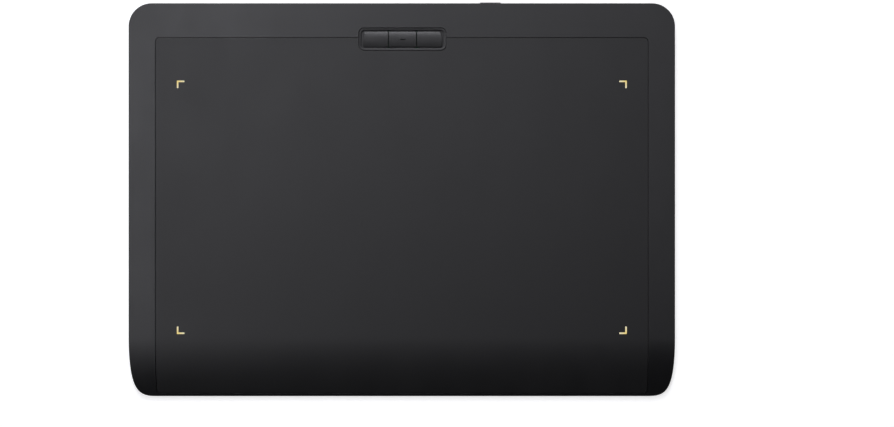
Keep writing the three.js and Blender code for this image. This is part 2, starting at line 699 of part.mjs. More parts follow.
function coverScrew() {
  const [length, width, depth] = SCREW_CROSS;
  const [low, high] = SCREW_HEAD_Z;
  const slotZ = [0, low + depth];
  return post(0, 0, [low, high], SCREW_HEAD_RADIUS)
    .add(post(0, 0, [high - SCREW_NECK, SCREW_TIP], SCREW_SHANK_RADIUS))
    .subtract(box([-length / 2, length / 2], [-width / 2, width / 2], slotZ))
    .subtract(box([-width / 2, width / 2], [-length / 2, length / 2], slotZ));
}

// The main board: a strip behind the key well with a notch for the inlet, and a wide leg to its right
function mainBoard() {
  const notch = USB_SIZE[0] / 2 + USB_NOTCH_CLEARANCE_X;
  const notchY = USB_Y[0] - USB_NOTCH_CLEARANCE_Y;
  const [front, rear] = MAIN_BOARD_Y;
  return prism(polygon([
    [MAIN_BOARD_LEFT, MAIN_BOARD_STRIP_Y],
    [MAIN_BOARD_LEG, MAIN_BOARD_STRIP_Y],
    [MAIN_BOARD_LEG, front],
    [MAIN_BOARD_RIGHT, front],
    [MAIN_BOARD_RIGHT, rear],
    [notch, rear],
    [notch, notchY],
    [-notch, notchY],
    [-notch, rear],
    [MAIN_BOARD_LEFT, rear],
  ]), MAIN_BOARD_Z);
}

// A pressed metal can: a box open at the bottom
function shieldCan([xSpan, ySpan, height]) {
  const floor = MAIN_BOARD_Z[1] + MOUNT_GAP;
  const inside = ([low, high]) => [low + CAN_SHEET, high - CAN_SHEET];
  return box(xSpan, ySpan, [floor, floor + height])
    .subtract(box(inside(xSpan), inside(ySpan), [0, floor + height - CAN_SHEET]));
}

function onMainBoard([xSpan, ySpan, height]) {
  const floor = MAIN_BOARD_Z[1] + MOUNT_GAP;
  return box(xSpan, ySpan, [floor, floor + height]);
}

// A flat cable from its lower-face route, which is drawn in one plane
function flatCable(route, place) {
  const upper = route.map(([a, z]) => [a, z + FLEX_THICKNESS]).reverse();
  return place(polygon([...route, ...upper]));
}

function sensorFlex() {
  const under = SENSOR_BOARD_Z[0] - FLEX_GAP - FLEX_THICKNESS;
  const [front, bend, end, rear] = SENSOR_FLEX_Y;
  const route = [[front, under], [bend, under], [end, SENSOR_FLEX_END_Z], [rear, SENSOR_FLEX_END_Z]];
  return flatCable(route, (shape) => prismAlongX(shape, SENSOR_FLEX_X));
}

function keyFlex() {
  const onKeyBoard = KEY_BOARD_Z[1] + MOUNT_GAP;
  const onMain = MAIN_BOARD_Z[1] + MOUNT_GAP;
  const [left, bend, end, right] = KEY_FLEX_X;
  const route = [[left, onKeyBoard], [bend, onKeyBoard], [end, onMain], [right, onMain]];
  return flatCable(route, (shape) => prismAlongY(shape, KEY_FLEX_Y));
}

function batteryCell() {
  const size = [BATTERY_X[1] - BATTERY_X[0], BATTERY_Y[1] - BATTERY_Y[0]];
  const centre = [(BATTERY_X[0] + BATTERY_X[1]) / 2, (BATTERY_Y[0] + BATTERY_Y[1]) / 2];
  return prism(roundedRectangle(size, BATTERY_CORNER, centre), BATTERY_Z);
}

function batteryLead() {
  const route = new THREE.CatmullRomCurve3(LEAD_ROUTE.map((place) => new THREE.Vector3(...place)));
  const section = new THREE.Shape();
  for (let side = 0; side < LEAD_SIDES; side += 1) {
    const angle = (side / LEAD_SIDES) * 2 * Math.PI;
    const point = [LEAD_RADIUS * Math.cos(angle), LEAD_RADIUS * Math.sin(angle)];
    if (side === 0) section.moveTo(...point);
    else section.lineTo(...point);
  }
  section.closePath();
  return solidOf(new THREE.ExtrudeGeometry(section, { steps: LEAD_STEPS, extrudePath: route }));
}

// The assembly

function addPiece(group, name, solid, finish, place = [0, 0, 0]) {
  const piece = new THREE.Mesh(geometryOf(solid), new THREE.MeshStandardMaterial(FINISHES[finish]));
  piece.name = name;
  piece.position.set(...place);
  group.add(piece);
}

function casing() {
  const group = new THREE.Group();
  addPiece(group, "top_cover", topCover(), "cover");
  addPiece(group, "bottom_cover", bottomCover(), "cover");
  addPiece(group, "drawing_sheet", drawingSheet(), "sheet");
  addPiece(group, "rating_label", prism(roundedRectangle(LABEL_SIZE, LABEL_CORNER), LABEL_Z), "label",
    [0, LABEL_Y, 0]);
  for (const [name, x, y] of FOOT_PLACES) {
    addPiece(group, `foot_${name}`, prism(stadium(FOOT_SIZE), [0, FOOT_TOP]), "rubber", [x, y, 0]);
  }
  for (const [name, x, y] of SCREW_PLACES) {
    addPiece(group, `screw_${name}`, coverScrew(), "screw", [x, y, 0]);
  }
  return group;
}

function cornerLights() {
  const group = new THREE.Group();
  const ledInset = LIGHT_STROKE / 2;
  const ledFloor = SENSOR_BOARD_Z[1] + MOUNT_GAP;
  const [ledX, ledY] = LIGHT_LED_SIZE.map((side) => [-side / 2, side / 2]);
  for (const [name, signX, signY, y] of LIGHT_CORNERS) {
    const window = cornerMark(signX, signY, 0, [LIGHT_BOTTOM, HEIGHT]);
    addPiece(group, `corner_light_${name}`, window, "light", [signX * LIGHT_X, y, 0]);
    const led = box(ledX, ledY, [ledFloor, ledFloor + LIGHT_LED_HEIGHT]);
    addPiece(group, `corner_led_${name}`, led, "ceramic",
      [signX * (LIGHT_X - ledInset), y - signY * ledInset, 0]);
  }
  return group;
}

function keySet() {
  const group = new THREE.Group();
  const outer = KEYS_SIZE[0] / 2;
  const inner = KEY_MIDDLE_HALF + KEY_GAP;
  const flangeInner = inner + KEY_FLANGE_INSET;
  const flangeMiddle = KEY_MIDDLE_HALF - KEY_FLANGE_INSET;
  const keys = [
    ["left", -SWITCH_X, [-outer, -inner], [-WIDTH, -flangeInner]],
    ["middle", 0, [-KEY_MIDDLE_HALF, KEY_MIDDLE_HALF], [-flangeMiddle, flangeMiddle]],
    ["right", SWITCH_X, [inner, outer], [flangeInner, WIDTH]],
  ];
  addPiece(group, "key_well_trim", keyWellTrim(), "trim");
  addPiece(group, "key_board", box([-KEY_BOARD_HALF, KEY_BOARD_HALF], KEY_BOARD_Y, KEY_BOARD_Z), "board");
  for (const [name, x, span, flangeSpan] of keys) {
    addPiece(group, `key_${name}`, keyCap(span, flangeSpan), "key", [WELL_X, WELL_Y, 0]);
    addPiece(group, `key_switch_${name}`, switchBody(), "contact", [WELL_X + x, WELL_Y, 0]);
    addPiece(group, `key_plunger_${name}`, switchPlunger(), "housing", [WELL_X + x, WELL_Y, 0]);
  }
  addPiece(group, "key_flex", keyFlex(), "flex");
  return group;
}

function powerSlider() {
  const group = new THREE.Group();
  const leverX = [SLIDER_MIDDLE - LEVER_WIDTH / 2, SLIDER_MIDDLE + LEVER_WIDTH / 2];
  addPiece(group, "power_slider_cap", sliderCap(), "slider");
  addPiece(group, "slide_switch_lever", box(leverX, LEVER_Y, LEVER_Z), "housing");
  addPiece(group, "slide_switch_body", slideSwitchBody(), "steel");
  return group;
}

function electronics() {
  const group = new THREE.Group();
  const padX = [BATTERY_X[0] + PAD_INSET, BATTERY_X[1] - PAD_INSET];
  const padY = [BATTERY_Y[0] + PAD_INSET, BATTERY_Y[1] - PAD_INSET];
  const pieces = [
    ["sensor_board", box([-SENSOR_BOARD_HALF, SENSOR_BOARD_HALF], SENSOR_BOARD_Y, SENSOR_BOARD_Z), "board"],
    ["shield_plate", box([-SHIELD_HALF, SHIELD_HALF], SHIELD_Y, SHIELD_Z), "steel"],
    ["main_board", mainBoard(), "board"],
    ["processor_can", shieldCan(PROCESSOR_CAN), "steel"],
    ["radio_can", shieldCan(RADIO_CAN), "steel"],
    ["radio_antenna", onMainBoard(RADIO_ANTENNA), "ceramic"],
    ["sensor_connector", onMainBoard(SENSOR_CONNECTOR), "housing"],
    ["sensor_flex", sensorFlex(), "flex"],
    ["battery_cell", batteryCell(), "battery"],
    ["battery_pad", box(padX, padY, PAD_Z), "foam"],
    ["battery_connector", onMainBoard(BATTERY_CONNECTOR), "housing"],
    ["battery_lead", batteryLead(), "lead"],
    ["usb_c_shell", usbShell(), "steel"],
    ["usb_c_tongue", usbTongue(), "contact"],
    ["status_led", onMainBoard(STATUS_LED), "ceramic"],
    ["status_lens", statusLens(), "lens"],
  ];
  for (const [name, solid, finish] of pieces) {
    addPiece(group, name, solid, finish);
  }
  return group;
}

const tablet = new THREE.Group();
tablet.add(casing(), cornerLights(), keySet(), powerSlider(), electronics());

export default tablet;
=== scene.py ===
"""The looks of a medium pen drawing tablet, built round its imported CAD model.

Metres, in the CAD frame: the origin is on the desk under the middle of the tablet, +X is right, +Y is
towards the keys and the rear edge, and +Z is up. Shells and sheet are drawn flat, cut, and then draped
over the palm rest's arc.
"""

import json
import math

import bmesh
import bpy
from mathutils import Matrix, Vector


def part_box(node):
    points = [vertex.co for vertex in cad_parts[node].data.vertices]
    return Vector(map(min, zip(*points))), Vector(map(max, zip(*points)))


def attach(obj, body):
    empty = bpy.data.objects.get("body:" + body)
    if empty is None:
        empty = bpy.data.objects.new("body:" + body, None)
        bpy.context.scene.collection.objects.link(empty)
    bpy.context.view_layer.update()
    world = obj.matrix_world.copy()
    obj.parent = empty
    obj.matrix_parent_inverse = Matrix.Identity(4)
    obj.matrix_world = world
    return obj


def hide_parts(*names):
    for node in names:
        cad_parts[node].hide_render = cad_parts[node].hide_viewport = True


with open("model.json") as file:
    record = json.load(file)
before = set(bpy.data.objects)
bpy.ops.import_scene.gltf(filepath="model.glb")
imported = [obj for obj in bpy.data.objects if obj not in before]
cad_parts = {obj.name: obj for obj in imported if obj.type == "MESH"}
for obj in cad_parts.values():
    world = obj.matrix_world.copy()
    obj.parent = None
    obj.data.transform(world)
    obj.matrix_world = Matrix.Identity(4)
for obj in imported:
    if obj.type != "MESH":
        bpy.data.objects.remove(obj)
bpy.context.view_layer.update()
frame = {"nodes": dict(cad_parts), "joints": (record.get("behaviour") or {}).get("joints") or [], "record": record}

MM = 0.001

# ---- places and sizes that the frame gives ----

cover_low, cover_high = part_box("top_cover")
SHELL_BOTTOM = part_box("bottom_cover")[0].z
sheet_low, sheet_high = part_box("drawing_sheet")
SIDE_X = cover_high.x
FRONT_Y = cover_low.y
REAR_Y = cover_high.y
TOP_Z = cover_high.z

# ---- sizes of the shells, as the CAD model has them ----

REAR_CORNER_RADIUS = 13.5 * MM
FRONT_CORNER_REACH = 15 * MM
FRONT_CORNER_HANDLE_X = 4.2 * MM
FRONT_CORNER_HANDLE_Y = 3.45 * MM
PALM_RUN = 35 * MM
PALM_DROP = TOP_Z - 2.8 * MM
PALM_RADIUS = (PALM_RUN ** 2 + PALM_DROP ** 2) / (2 * PALM_DROP)
PALM_SLICES = 28
RIM_RADIUS = 0.4 * MM
RIM_DEPTH = 1.2 * MM
PARTING_Z = 3.6 * MM
PARTING_GAP = 0.1 * MM
PARTING_CHAMFER = 0.12 * MM
UNDERCUT = 3 * MM
WALL = 2.2 * MM
CEILING_Z = TOP_Z - 1.6 * MM
FLOOR_Z = 2 * MM
CAVITY_FRONT_Y = FRONT_Y + 11.6 * MM
CAVITY_REAR_CORNER = REAR_CORNER_RADIUS - WALL
CAVITY_FRONT_CORNER = 16 * MM
CORNER_CHAMFER = 0.15 * MM
PAST = 2 * MM
SLICE_TOLERANCE = 1e-7
SHARP_ANGLE = math.radians(35)

# A round end's radius as a share of half its width. Just under 1 keeps a short straight edge in it.
ROUND_END = 0.99
ROUND_HOLE = 0.98

SHEET_CORNER = 2.3 * MM
SHEET_BOTTOM = TOP_Z - 0.5 * MM
SHEET_GROOVE = 0.4 * MM
REAR_GROOVE = 0.6 * MM
RIGHT_GROOVE = 0.26 * MM
SHEET_BEDDING = 0.05 * MM
SHEET_EDGE = 0.05 * MM
GROOVE_EDGE = 0.06 * MM
GLUE_CHANNEL_Z = TOP_Z - 1.1 * MM

TRIM_OUTER = (50.9 * MM, 12.8 * MM)
TRIM_CORNER = 3 * MM
TRIM_WIDTH = 1.15 * MM
TRIM_CLEARANCE = 0.4 * MM
TRIM_TOP = 7.9 * MM
TRIM_FALL = 0.12 * MM
TRIM_EDGE = 0.07 * MM
SHEET_TO_TRIM = 0.45 * MM
NOTCH_MOUTH_RADIUS = 0.3 * MM

LIGHT_ARM = 4.35 * MM
LIGHT_STROKE = 0.8 * MM
LIGHT_CLEARANCE = 0.12 * MM
LIGHT_OUTER_CORNER = 0.35 * MM
LIGHT_INNER_CORNER = 0.25 * MM
LIGHT_SINK = 0.02 * MM
LIGHT_EDGE = 0.12 * MM
LIGHT_SLICES = 10
COVER_SLOT_EDGE = 0.05 * MM
SHEET_SLOT_EDGE = 0.06 * MM


# ---- outlines: closed loops of (x, y, inward normal x, inward normal y), counterclockwise ----


def rounded_polygon(corners, steps=8):
    """A loop round (x, y, radius) corners, which may be convex or hollow."""
    points = []
    count = len(corners)
    for index in range(count):
        here = Vector(corners[index][:2])
        before = (here - Vector(corners[index - 1][:2])).normalized()
        after = (Vector(corners[(index + 1) % count][:2]) - here).normalized()
        turn = math.atan2(before.x * after.y - before.y * after.x, before.dot(after))
        side = math.copysign(1, turn)
        radius = corners[index][2]
        start = here - before * radius * math.tan(abs(turn) / 2)
        centre = start + Vector((-before.y, before.x)) * radius * side
        for step in range(steps + 1):
            angle = math.atan2(before.y, before.x) + turn * step / steps
            normal = Vector((-math.sin(angle), math.cos(angle)))
            place = centre - normal * radius * side
            points.append((place.x, place.y, normal.x, normal.y))
    return points


def rounded_rectangle(low, high, radius, steps=8):
    corners = [(low[0], low[1]), (high[0], low[1]), (high[0], high[1]), (low[0], high[1])]
    return rounded_polygon([(x, y, radius) for x, y in corners], steps)


def rectangle_at(centre, size, radius, steps=8):
    low = (centre[0] - size[0] / 2, centre[1] - size[1] / 2)
    high = (centre[0] + size[0] / 2, centre[1] + size[1] / 2)
    return rounded_rectangle(low, high, radius, steps)


def tablet_outline(rear_steps=20, front_steps=40):
    """The tablet's outline: front corners on a free curve, rear corners on arcs."""
    curve = [
        Vector((SIDE_X - FRONT_CORNER_REACH, FRONT_Y)),
        Vector((SIDE_X - FRONT_CORNER_HANDLE_X, FRONT_Y)),
        Vector((SIDE_X, FRONT_Y + FRONT_CORNER_HANDLE_Y)),
        Vector((SIDE_X, FRONT_Y + PALM_RUN)),
    ]
    right = []
    for step in range(front_steps + 1):
        t = step / front_steps
        weights = ((1 - t) ** 3, 3 * t * (1 - t) ** 2, 3 * t * t * (1 - t), t ** 3)
        place = sum((point * weight for point, weight in zip(curve, weights)), Vector((0, 0)))
        slopes = (3 * (1 - t) ** 2, 6 * t * (1 - t), 3 * t * t)
        along = sum(((b - a) * slope for a, b, slope in zip(curve, curve[1:], slopes)), Vector((0, 0)))
        along.normalize()
        right.append((place.x, place.y, -along.y, along.x))
    centre = (SIDE_X - REAR_CORNER_RADIUS, REAR_Y - REAR_CORNER_RADIUS)
    for step in range(rear_steps + 1):
        angle = (math.pi / 2) * step / rear_steps
        out = (math.cos(angle), math.sin(angle))
        x, y = (c + REAR_CORNER_RADIUS * o for c, o in zip(centre, out))
        right.append((x, y, -out[0], -out[1]))
    left = [(-x, y, -nx, ny) for x, y, nx, ny in reversed(right)]
    return right + left


# ---- meshes ----


def finished(bm, name):
    """Makes a piece from a bmesh, with its faces turned outwards."""
    bmesh.ops.recalc_face_normals(bm, faces=bm.faces)
    mesh = bpy.data.meshes.new(name)
    bm.to_mesh(mesh)
    bm.free()
    piece = bpy.data.objects.new(name, mesh)
    bpy.context.scene.collection.objects.link(piece)
    return piece


def ring_loops(bm, outline, rings):
    return [
        [bm.verts.new((x + nx * inset, y + ny * inset, z)) for x, y, nx, ny in outline]
        for inset, z in rings
    ]


def join_loops(bm, low, high):
    count = len(low)
    for index in range(count):
        after = (index + 1) % count
        bm.faces.new((low[index], low[after], high[after], high[index]))


def stacked(name, outline, rings):
    """A closed solid from (inset, height) rings stacked along an outline, with flat ends."""
    bm = bmesh.new()
    loops = ring_loops(bm, outline, rings)
    for low, high in zip(loops, loops[1:]):
        join_loops(bm, low, high)
    bm.faces.new(loops[0][::-1])
    bm.faces.new(loops[-1])
    return finished(bm, name)


def banded(name, outline, section):
    """A closed ring whose (inset, height) section runs round an outline."""
    bm = bmesh.new()
    loops = ring_loops(bm, outline, section)
    for index, low in enumerate(loops):
        join_loops(bm, low, loops[(index + 1) % len(loops)])
    return finished(bm, name)


def turned(name, profile, centre, sides=32):
    """A solid turned from (radius, height) points that start and end on its axis."""
    bm = bmesh.new()
    rings = []
    for radius, z in profile:
        if radius == 0:
            rings.append([bm.verts.new((centre[0], centre[1], z))])
            continue
        angles = [2 * math.pi * side / sides for side in range(sides)]
        rings.append([
            bm.verts.new((centre[0] + radius * math.cos(a), centre[1] + radius * math.sin(a), z))
            for a in angles
        ])
    for low, high in zip(rings, rings[1:]):
        for side in range(sides):
            after = (side + 1) % sides
            if len(low) == 1:
                bm.faces.new((low[0], high[after], high[side]))
            elif len(high) == 1:
                bm.faces.new((low[side], low[after], high[0]))
            else:
                bm.faces.new((low[side], low[after], high[after], high[side]))
    return finished(bm, name)


def block(low, high):
    """A plain box for cutting or joining."""
    corners = [(low[0], low[1]), (high[0], low[1]), (high[0], high[1]), (low[0], high[1])]
    outline = [(x, y, 0, 0) for x, y in corners]
    return stacked("block", outline, [(0, low[2]), (0, high[2])])


def facing_rear(piece):
    """Turns a piece drawn in X and Z, and stacked along its depth, so that its top faces +Y."""
    piece.data.transform(Matrix(((1, 0, 0, 0), (0, 0, 1, 0), (0, 1, 0, 0), (0, 0, 0, 1))))
    piece.data.flip_normals()
    return piece


def quarter_turn(steps):
    return [math.pi / 2 * step / steps for step in range(steps + 1)]


def fillet_up(inset, top, radius, steps=6):
    """Rings of a rounded upper edge, from the wall in to the top face."""
    return [
        (inset + radius * (1 - math.cos(a)), top - radius * (1 - math.sin(a)))
        for a in quarter_turn(steps)
    ]


def fillet_down(inset, bottom, radius, steps=6):
    """Rings of a rounded lower edge, from the bottom face out to the wall."""
    return [
        (inset + radius * (1 - math.sin(a)), bottom + radius * (1 - math.cos(a)))
        for a in quarter_turn(steps)
    ]


def flare_up(top, radius, steps=5):
    """Rings of a cutter whose wall opens out into a rounded edge at the top face, and on past it."""
    rings = [
        (-radius * (1 - math.cos(a)), top - radius + radius * math.sin(a))
        for a in quarter_turn(steps)
    ]
    return rings + [(-radius, top + PAST)]


def joined(pieces):
    """Several meshes as one, for use as a single cutter."""
    bm = bmesh.new()
    for piece in pieces:
        bm.from_mesh(piece.data)
        bpy.data.objects.remove(piece)
    return finished(bm, "cutter")


def combine(piece, cutters, operation):
    cutter = joined(cutters)
    modifier = piece.modifiers.new("combine", "BOOLEAN")
    modifier.operation = operation
    modifier.object = cutter
    modifier.solver = "EXACT"
    bpy.context.view_layer.update()
    graph = bpy.context.evaluated_depsgraph_get()
    mesh = bpy.data.meshes.new_from_object(piece.evaluated_get(graph))
    piece.modifiers.clear()
    piece.data = mesh
    bpy.data.objects.remove(cutter)
    return piece


def cut(piece, *cutters):
    return combine(piece, cutters, "DIFFERENCE")


def add(piece, *others):
    return combine(piece, others, "UNION")


def sliced(piece, axis, stations):
    """Cuts extra edges across a piece, so that it can bend there."""
    bm = bmesh.new()
    bm.from_mesh(piece.data)
    normal = Vector((0, 0, 0))
    normal[axis] = 1
    for station in stations:
        geometry = bm.verts[:] + bm.edges[:] + bm.faces[:]
        bmesh.ops.bisect_plane(
            bm, geom=geometry, dist=SLICE_TOLERANCE, plane_co=normal * station, plane_no=normal)
    bm.to_mesh(piece.data)
    bm.free()
    return piece


def surface_drop(y):
    run = max(0.0, FRONT_Y + PALM_RUN - y)
    return PALM_RADIUS - math.sqrt(PALM_RADIUS ** 2 - run ** 2)


def draped(piece):
    """Bends a piece drawn flat over the palm rest.

    What is above the rim's foot keeps its depth below the surface, and the side wall under it closes up.
    """
    stations = [FRONT_Y + PALM_RUN * step / PALM_SLICES for step in range(1, PALM_SLICES + 1)]
    sliced(piece, 1, stations)
    rim_foot = TOP_Z - RIM_DEPTH
    for vertex in piece.data.vertices:
        drop = surface_drop(vertex.co.y)
        if vertex.co.z >= rim_foot:
            vertex.co.z -= drop
        elif vertex.co.z > SHELL_BOTTOM:
            share = (rim_foot - drop - SHELL_BOTTOM) / (rim_foot - SHELL_BOTTOM)
            vertex.co.z = SHELL_BOTTOM + (vertex.co.z - SHELL_BOTTOM) * share
    return piece


def place(piece, name, body, slot, material, nodes):
    """Gives a finished piece its name, shading, material, body and the CAD nodes it stands for."""
    piece.name = name
    piece.data.name = name
    for polygon in piece.data.polygons:
        polygon.use_smooth = True
    piece.data.set_sharp_from_angle(angle=SHARP_ANGLE)
    weighted = piece.modifiers.new("weighted normals", "WEIGHTED_NORMAL")
    weighted.keep_sharp = True
    piece.data.materials.clear()
    piece.data.materials.append(material)
    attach(piece, body)
    if nodes:
        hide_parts(*nodes)
    return piece


# ---- materials ----


GLOW = "glow"
BLOTCH_SIZE = 35 * MM
HANDLING_SIZE = 14 * MM
FINE_GRAIN_SHARE = 0.6
FINE_DEPTH_SHARE = 0.4
BRUSH_LENGTH = 2 * MM
BRUSH_STRETCH = (1, 12, 12)
BRUSH_DEPTH = 0.01 * MM


class Nodes:
    """A short way to build one material's node tree."""

    def __init__(self, name):
        self.material = bpy.data.materials.new(name)
        self.material.use_nodes = True
        self.tree = self.material.node_tree
        self.shader = self.tree.nodes["Principled BSDF"]
        coordinates = self.tree.nodes.new("ShaderNodeTexCoord")
        self.place = coordinates.outputs["Object"]

    def link(self, output, socket):
        self.tree.links.new(output, socket)

    def constant(self, **values):
        for name, value in values.items():
            self.shader.inputs[name.replace("_", " ")].default_value = value

    def noise(self, size, detail=2.0, stretch=(1, 1, 1)):
        """Noise whose blotches are about that size in metres."""
        scaled = self.tree.nodes.new("ShaderNodeMapping")
        scaled.inputs["Scale"].default_value = stretch
        self.link(self.place, scaled.inputs["Vector"])
        node = self.tree.nodes.new("ShaderNodeTexNoise")
        node.inputs["Scale"].default_value = 1 / size
        node.inputs["Detail"].default_value = detail
        self.link(scaled.outputs["Vector"], node.inputs["Vector"])
        return node.outputs["Fac"]

    def cells(self, size):
        node = self.tree.nodes.new("ShaderNodeTexVoronoi")
        node.inputs["Scale"].default_value = 1 / size
        self.link(self.place, node.inputs["Vector"])
        return node.outputs["Distance"]

    def spread(self, value, low, high, source=(0.3, 0.7)):
        node = self.tree.nodes.new("ShaderNodeMapRange")
        node.inputs["From Min"].default_value = source[0]
        node.inputs["From Max"].default_value = source[1]
        node.inputs["To Min"].default_value = low
        node.inputs["To Max"].default_value = high
        self.link(value, node.inputs["Value"])
        return node.outputs["Result"]

    def between(self, value, dark, light, source=(0.3, 0.7)):
        node = self.tree.nodes.new("ShaderNodeValToRGB")
        node.color_ramp.elements[0].position = source[0]
        node.color_ramp.elements[0].color = (*dark, 1)
        node.color_ramp.elements[1].position = source[1]
        node.color_ramp.elements[1].color = (*light, 1)
        self.link(value, node.inputs["Fac"])
        return node.outputs["Color"]

    def bump(self, height, distance, under=None):
        node = self.tree.nodes.new("ShaderNodeBump")
        node.inputs["Strength"].default_value = 1.0
        node.inputs["Distance"].default_value = distance
        self.link(height, node.inputs["Height"])
        if under is not None:
            self.link(under, node.inputs["Normal"])
        return node.outputs["Normal"]


def shade(colour, factor):
    return tuple(channel * factor for channel in colour)


def moulded(name, colour, roughness, grain, depth, variation=0.12, smudge=0.04, specular=0.5):
    """Moulded plastic: a spark-eroded grain, faint handling marks and slightly uneven colour."""
    nodes = Nodes(name)
    nodes.constant(Specular_IOR_Level=specular)
    blotch = nodes.noise(BLOTCH_SIZE, 3)
    nodes.link(
        nodes.between(blotch, shade(colour, 1 - variation), shade(colour, 1 + variation)),
        nodes.shader.inputs["Base Color"])
    marks = nodes.noise(HANDLING_SIZE, 4, (1, 0.5, 1))
    nodes.link(
        nodes.spread(marks, roughness - smudge, roughness + smudge), nodes.shader.inputs["Roughness"])
    coarse = nodes.bump(nodes.noise(grain, 2), depth)
    fine = nodes.bump(nodes.cells(grain * FINE_GRAIN_SHARE), depth * FINE_DEPTH_SHARE, under=coarse)
    nodes.link(fine, nodes.shader.inputs["Normal"])
    return nodes.material


def lit_window(name, near, far, strength):
    """A diffusing window, lit from under its corner. The glow attribute is 0 there and 1 at the tips."""
    nodes = Nodes(name)
    nodes.constant(Base_Color=(0.10, 0.075, 0.02, 1), Roughness=0.45, Emission_Strength=strength)
    reach = nodes.tree.nodes.new("ShaderNodeAttribute")
    reach.attribute_name = GLOW
    tone = nodes.between(reach.outputs["Fac"], near, far, (0.1, 0.95))
    uneven = nodes.tree.nodes.new("ShaderNodeMixRGB")
    uneven.blend_type = "MULTIPLY"
    uneven.inputs["Fac"].default_value = 1.0
    nodes.link(tone, uneven.inputs["Color1"])
    nodes.link(nodes.between(nodes.noise(0.9 * MM, 2), (0.9,) * 3, (1,) * 3), uneven.inputs["Color2"])
    nodes.link(uneven.outputs["Color"], nodes.shader.inputs["Emission Color"])
    nodes.link(nodes.bump(nodes.noise(0.3 * MM), 0.01 * MM), nodes.shader.inputs["Normal"])
    return nodes.material


def brushed(name, colour, roughness):
    """Rolled or pressed metal with fine lines along X."""
    nodes = Nodes(name)
    nodes.constant(Metallic=1.0)
    lines = nodes.noise(BRUSH_LENGTH, 4, BRUSH_STRETCH)
    nodes.link(
        nodes.between(lines, shade(colour, 0.82), shade(colour, 1.1)), nodes.shader.inputs["Base Color"])
    nodes.link(
        nodes.spread(lines, roughness - 0.07, roughness + 0.1), nodes.shader.inputs["Roughness"])
    nodes.link(nodes.bump(lines, BRUSH_DEPTH), nodes.shader.inputs["Normal"])
    return nodes.material


def circuit_board(name):
    """Green solder mask over a faint pattern of copper tracks."""
    nodes = Nodes(name)
    nodes.constant(Roughness=0.35)
    tracks = nodes.tree.nodes.new("ShaderNodeTexBrick")
    tracks.inputs["Scale"].default_value = 1 / (6 * MM)
    tracks.inputs["Color1"].default_value = (0.010, 0.070, 0.035, 1)
    tracks.inputs["Color2"].default_value = (0.012, 0.085, 0.042, 1)
    tracks.inputs["Mortar"].default_value = (0.030, 0.140, 0.075, 1)
    tracks.inputs["Mortar Size"].default_value = 0.03
    nodes.link(nodes.place, tracks.inputs["Vector"])
    nodes.link(tracks.outputs["Color"], nodes.shader.inputs["Base Color"])
    nodes.link(nodes.bump(tracks.outputs["Fac"], 0.03 * MM), nodes.shader.inputs["Normal"])
    return nodes.material


BLACK_PLASTIC = (0.0045, 0.0045, 0.0052)

COVER = moulded("cover_plastic", BLACK_PLASTIC, 0.347, 0.35 * MM, 0.005 * MM, smudge=0.02)
SHEET = moulded("drawing_sheet", (0.0045, 0.0045, 0.0050), 0.425, 0.18 * MM, 0.003 * MM, smudge=0.02)
TRIM = moulded("trim_plastic", BLACK_PLASTIC, 0.38, 0.3 * MM, 0.003 * MM)
KEY = moulded("key_plastic", BLACK_PLASTIC, 0.408, 0.25 * MM, 0.004 * MM, smudge=0.02)
SLIDER = moulded("slider_plastic", BLACK_PLASTIC, 0.42, 0.3 * MM, 0.004 * MM)
RUBBER = moulded("rubber", (0.0100, 0.0100, 0.0102), 0.85, 0.5 * MM, 0.03 * MM, specular=0.3)
LABEL = moulded("label", (0.0160, 0.0165, 0.0180), 0.38, 0.4 * MM, 0.003 * MM)
DARK_PLASTIC = moulded("dark_plastic", (0.0120, 0.0120, 0.0125), 0.5, 0.4 * MM, 0.008 * MM)
LIGHT_PLASTIC = moulded("light_plastic", (0.68, 0.66, 0.60), 0.45, 0.4 * MM, 0.008 * MM, variation=0.05)
BATTERY = brushed("battery_wrap", (0.42, 0.43, 0.45), 0.35)
FOAM = moulded("foam", (0.0200, 0.0200, 0.0210), 0.95, 0.8 * MM, 0.1 * MM)
FLEX = moulded("flat_cable", (0.36, 0.14, 0.03), 0.35, 1.0 * MM, 0.004 * MM)
WIRE = moulded("wire", (0.26, 0.018, 0.014), 0.45, 0.6 * MM, 0.006 * MM)
LENS = moulded("clear_lens", (0.50, 0.53, 0.56), 0.18, 0.5 * MM, 0.002 * MM, variation=0.04)
STEEL = brushed("steel", (0.52, 0.53, 0.54), 0.30)
SCREW_STEEL = brushed("screw_steel", (0.075, 0.075, 0.080), 0.38)
GOLD = brushed("contact_gold", (0.80, 0.55, 0.22), 0.25)
BOARD = circuit_board("circuit_board")
LIGHT = lit_window("corner_light", (0.95, 0.74, 0.24), (0.97, 0.88, 0.60), 0.82)

SLOT_MATERIALS = {
    "cover_plastic": COVER, "drawing_sheet": SHEET, "trim_plastic": TRIM, "key_plastic": KEY,
    "slider_plastic": SLIDER, "rubber": RUBBER, "label": LABEL, "dark_plastic": DARK_PLASTIC,
    "light_plastic": LIGHT_PLASTIC, "battery_wrap": BATTERY, "foam": FOAM, "flat_cable": FLEX,
    "wire": WIRE, "clear_lens": LENS, "steel": STEEL, "screw_steel": SCREW_STEEL,
    "circuit_board": BOARD, "corner_light": LIGHT,
}


def finish_cad_nodes():
    """Every CAD node that stays gets its slot's material."""
    for row in frame["record"]["subparts"]:
        node = frame["nodes"][row["node"]]
        material = SLOT_MATERIALS[row["material_slot"]]
        node.data.materials.clear()
        node.data.materials.append(material)


# ---- the pieces ----

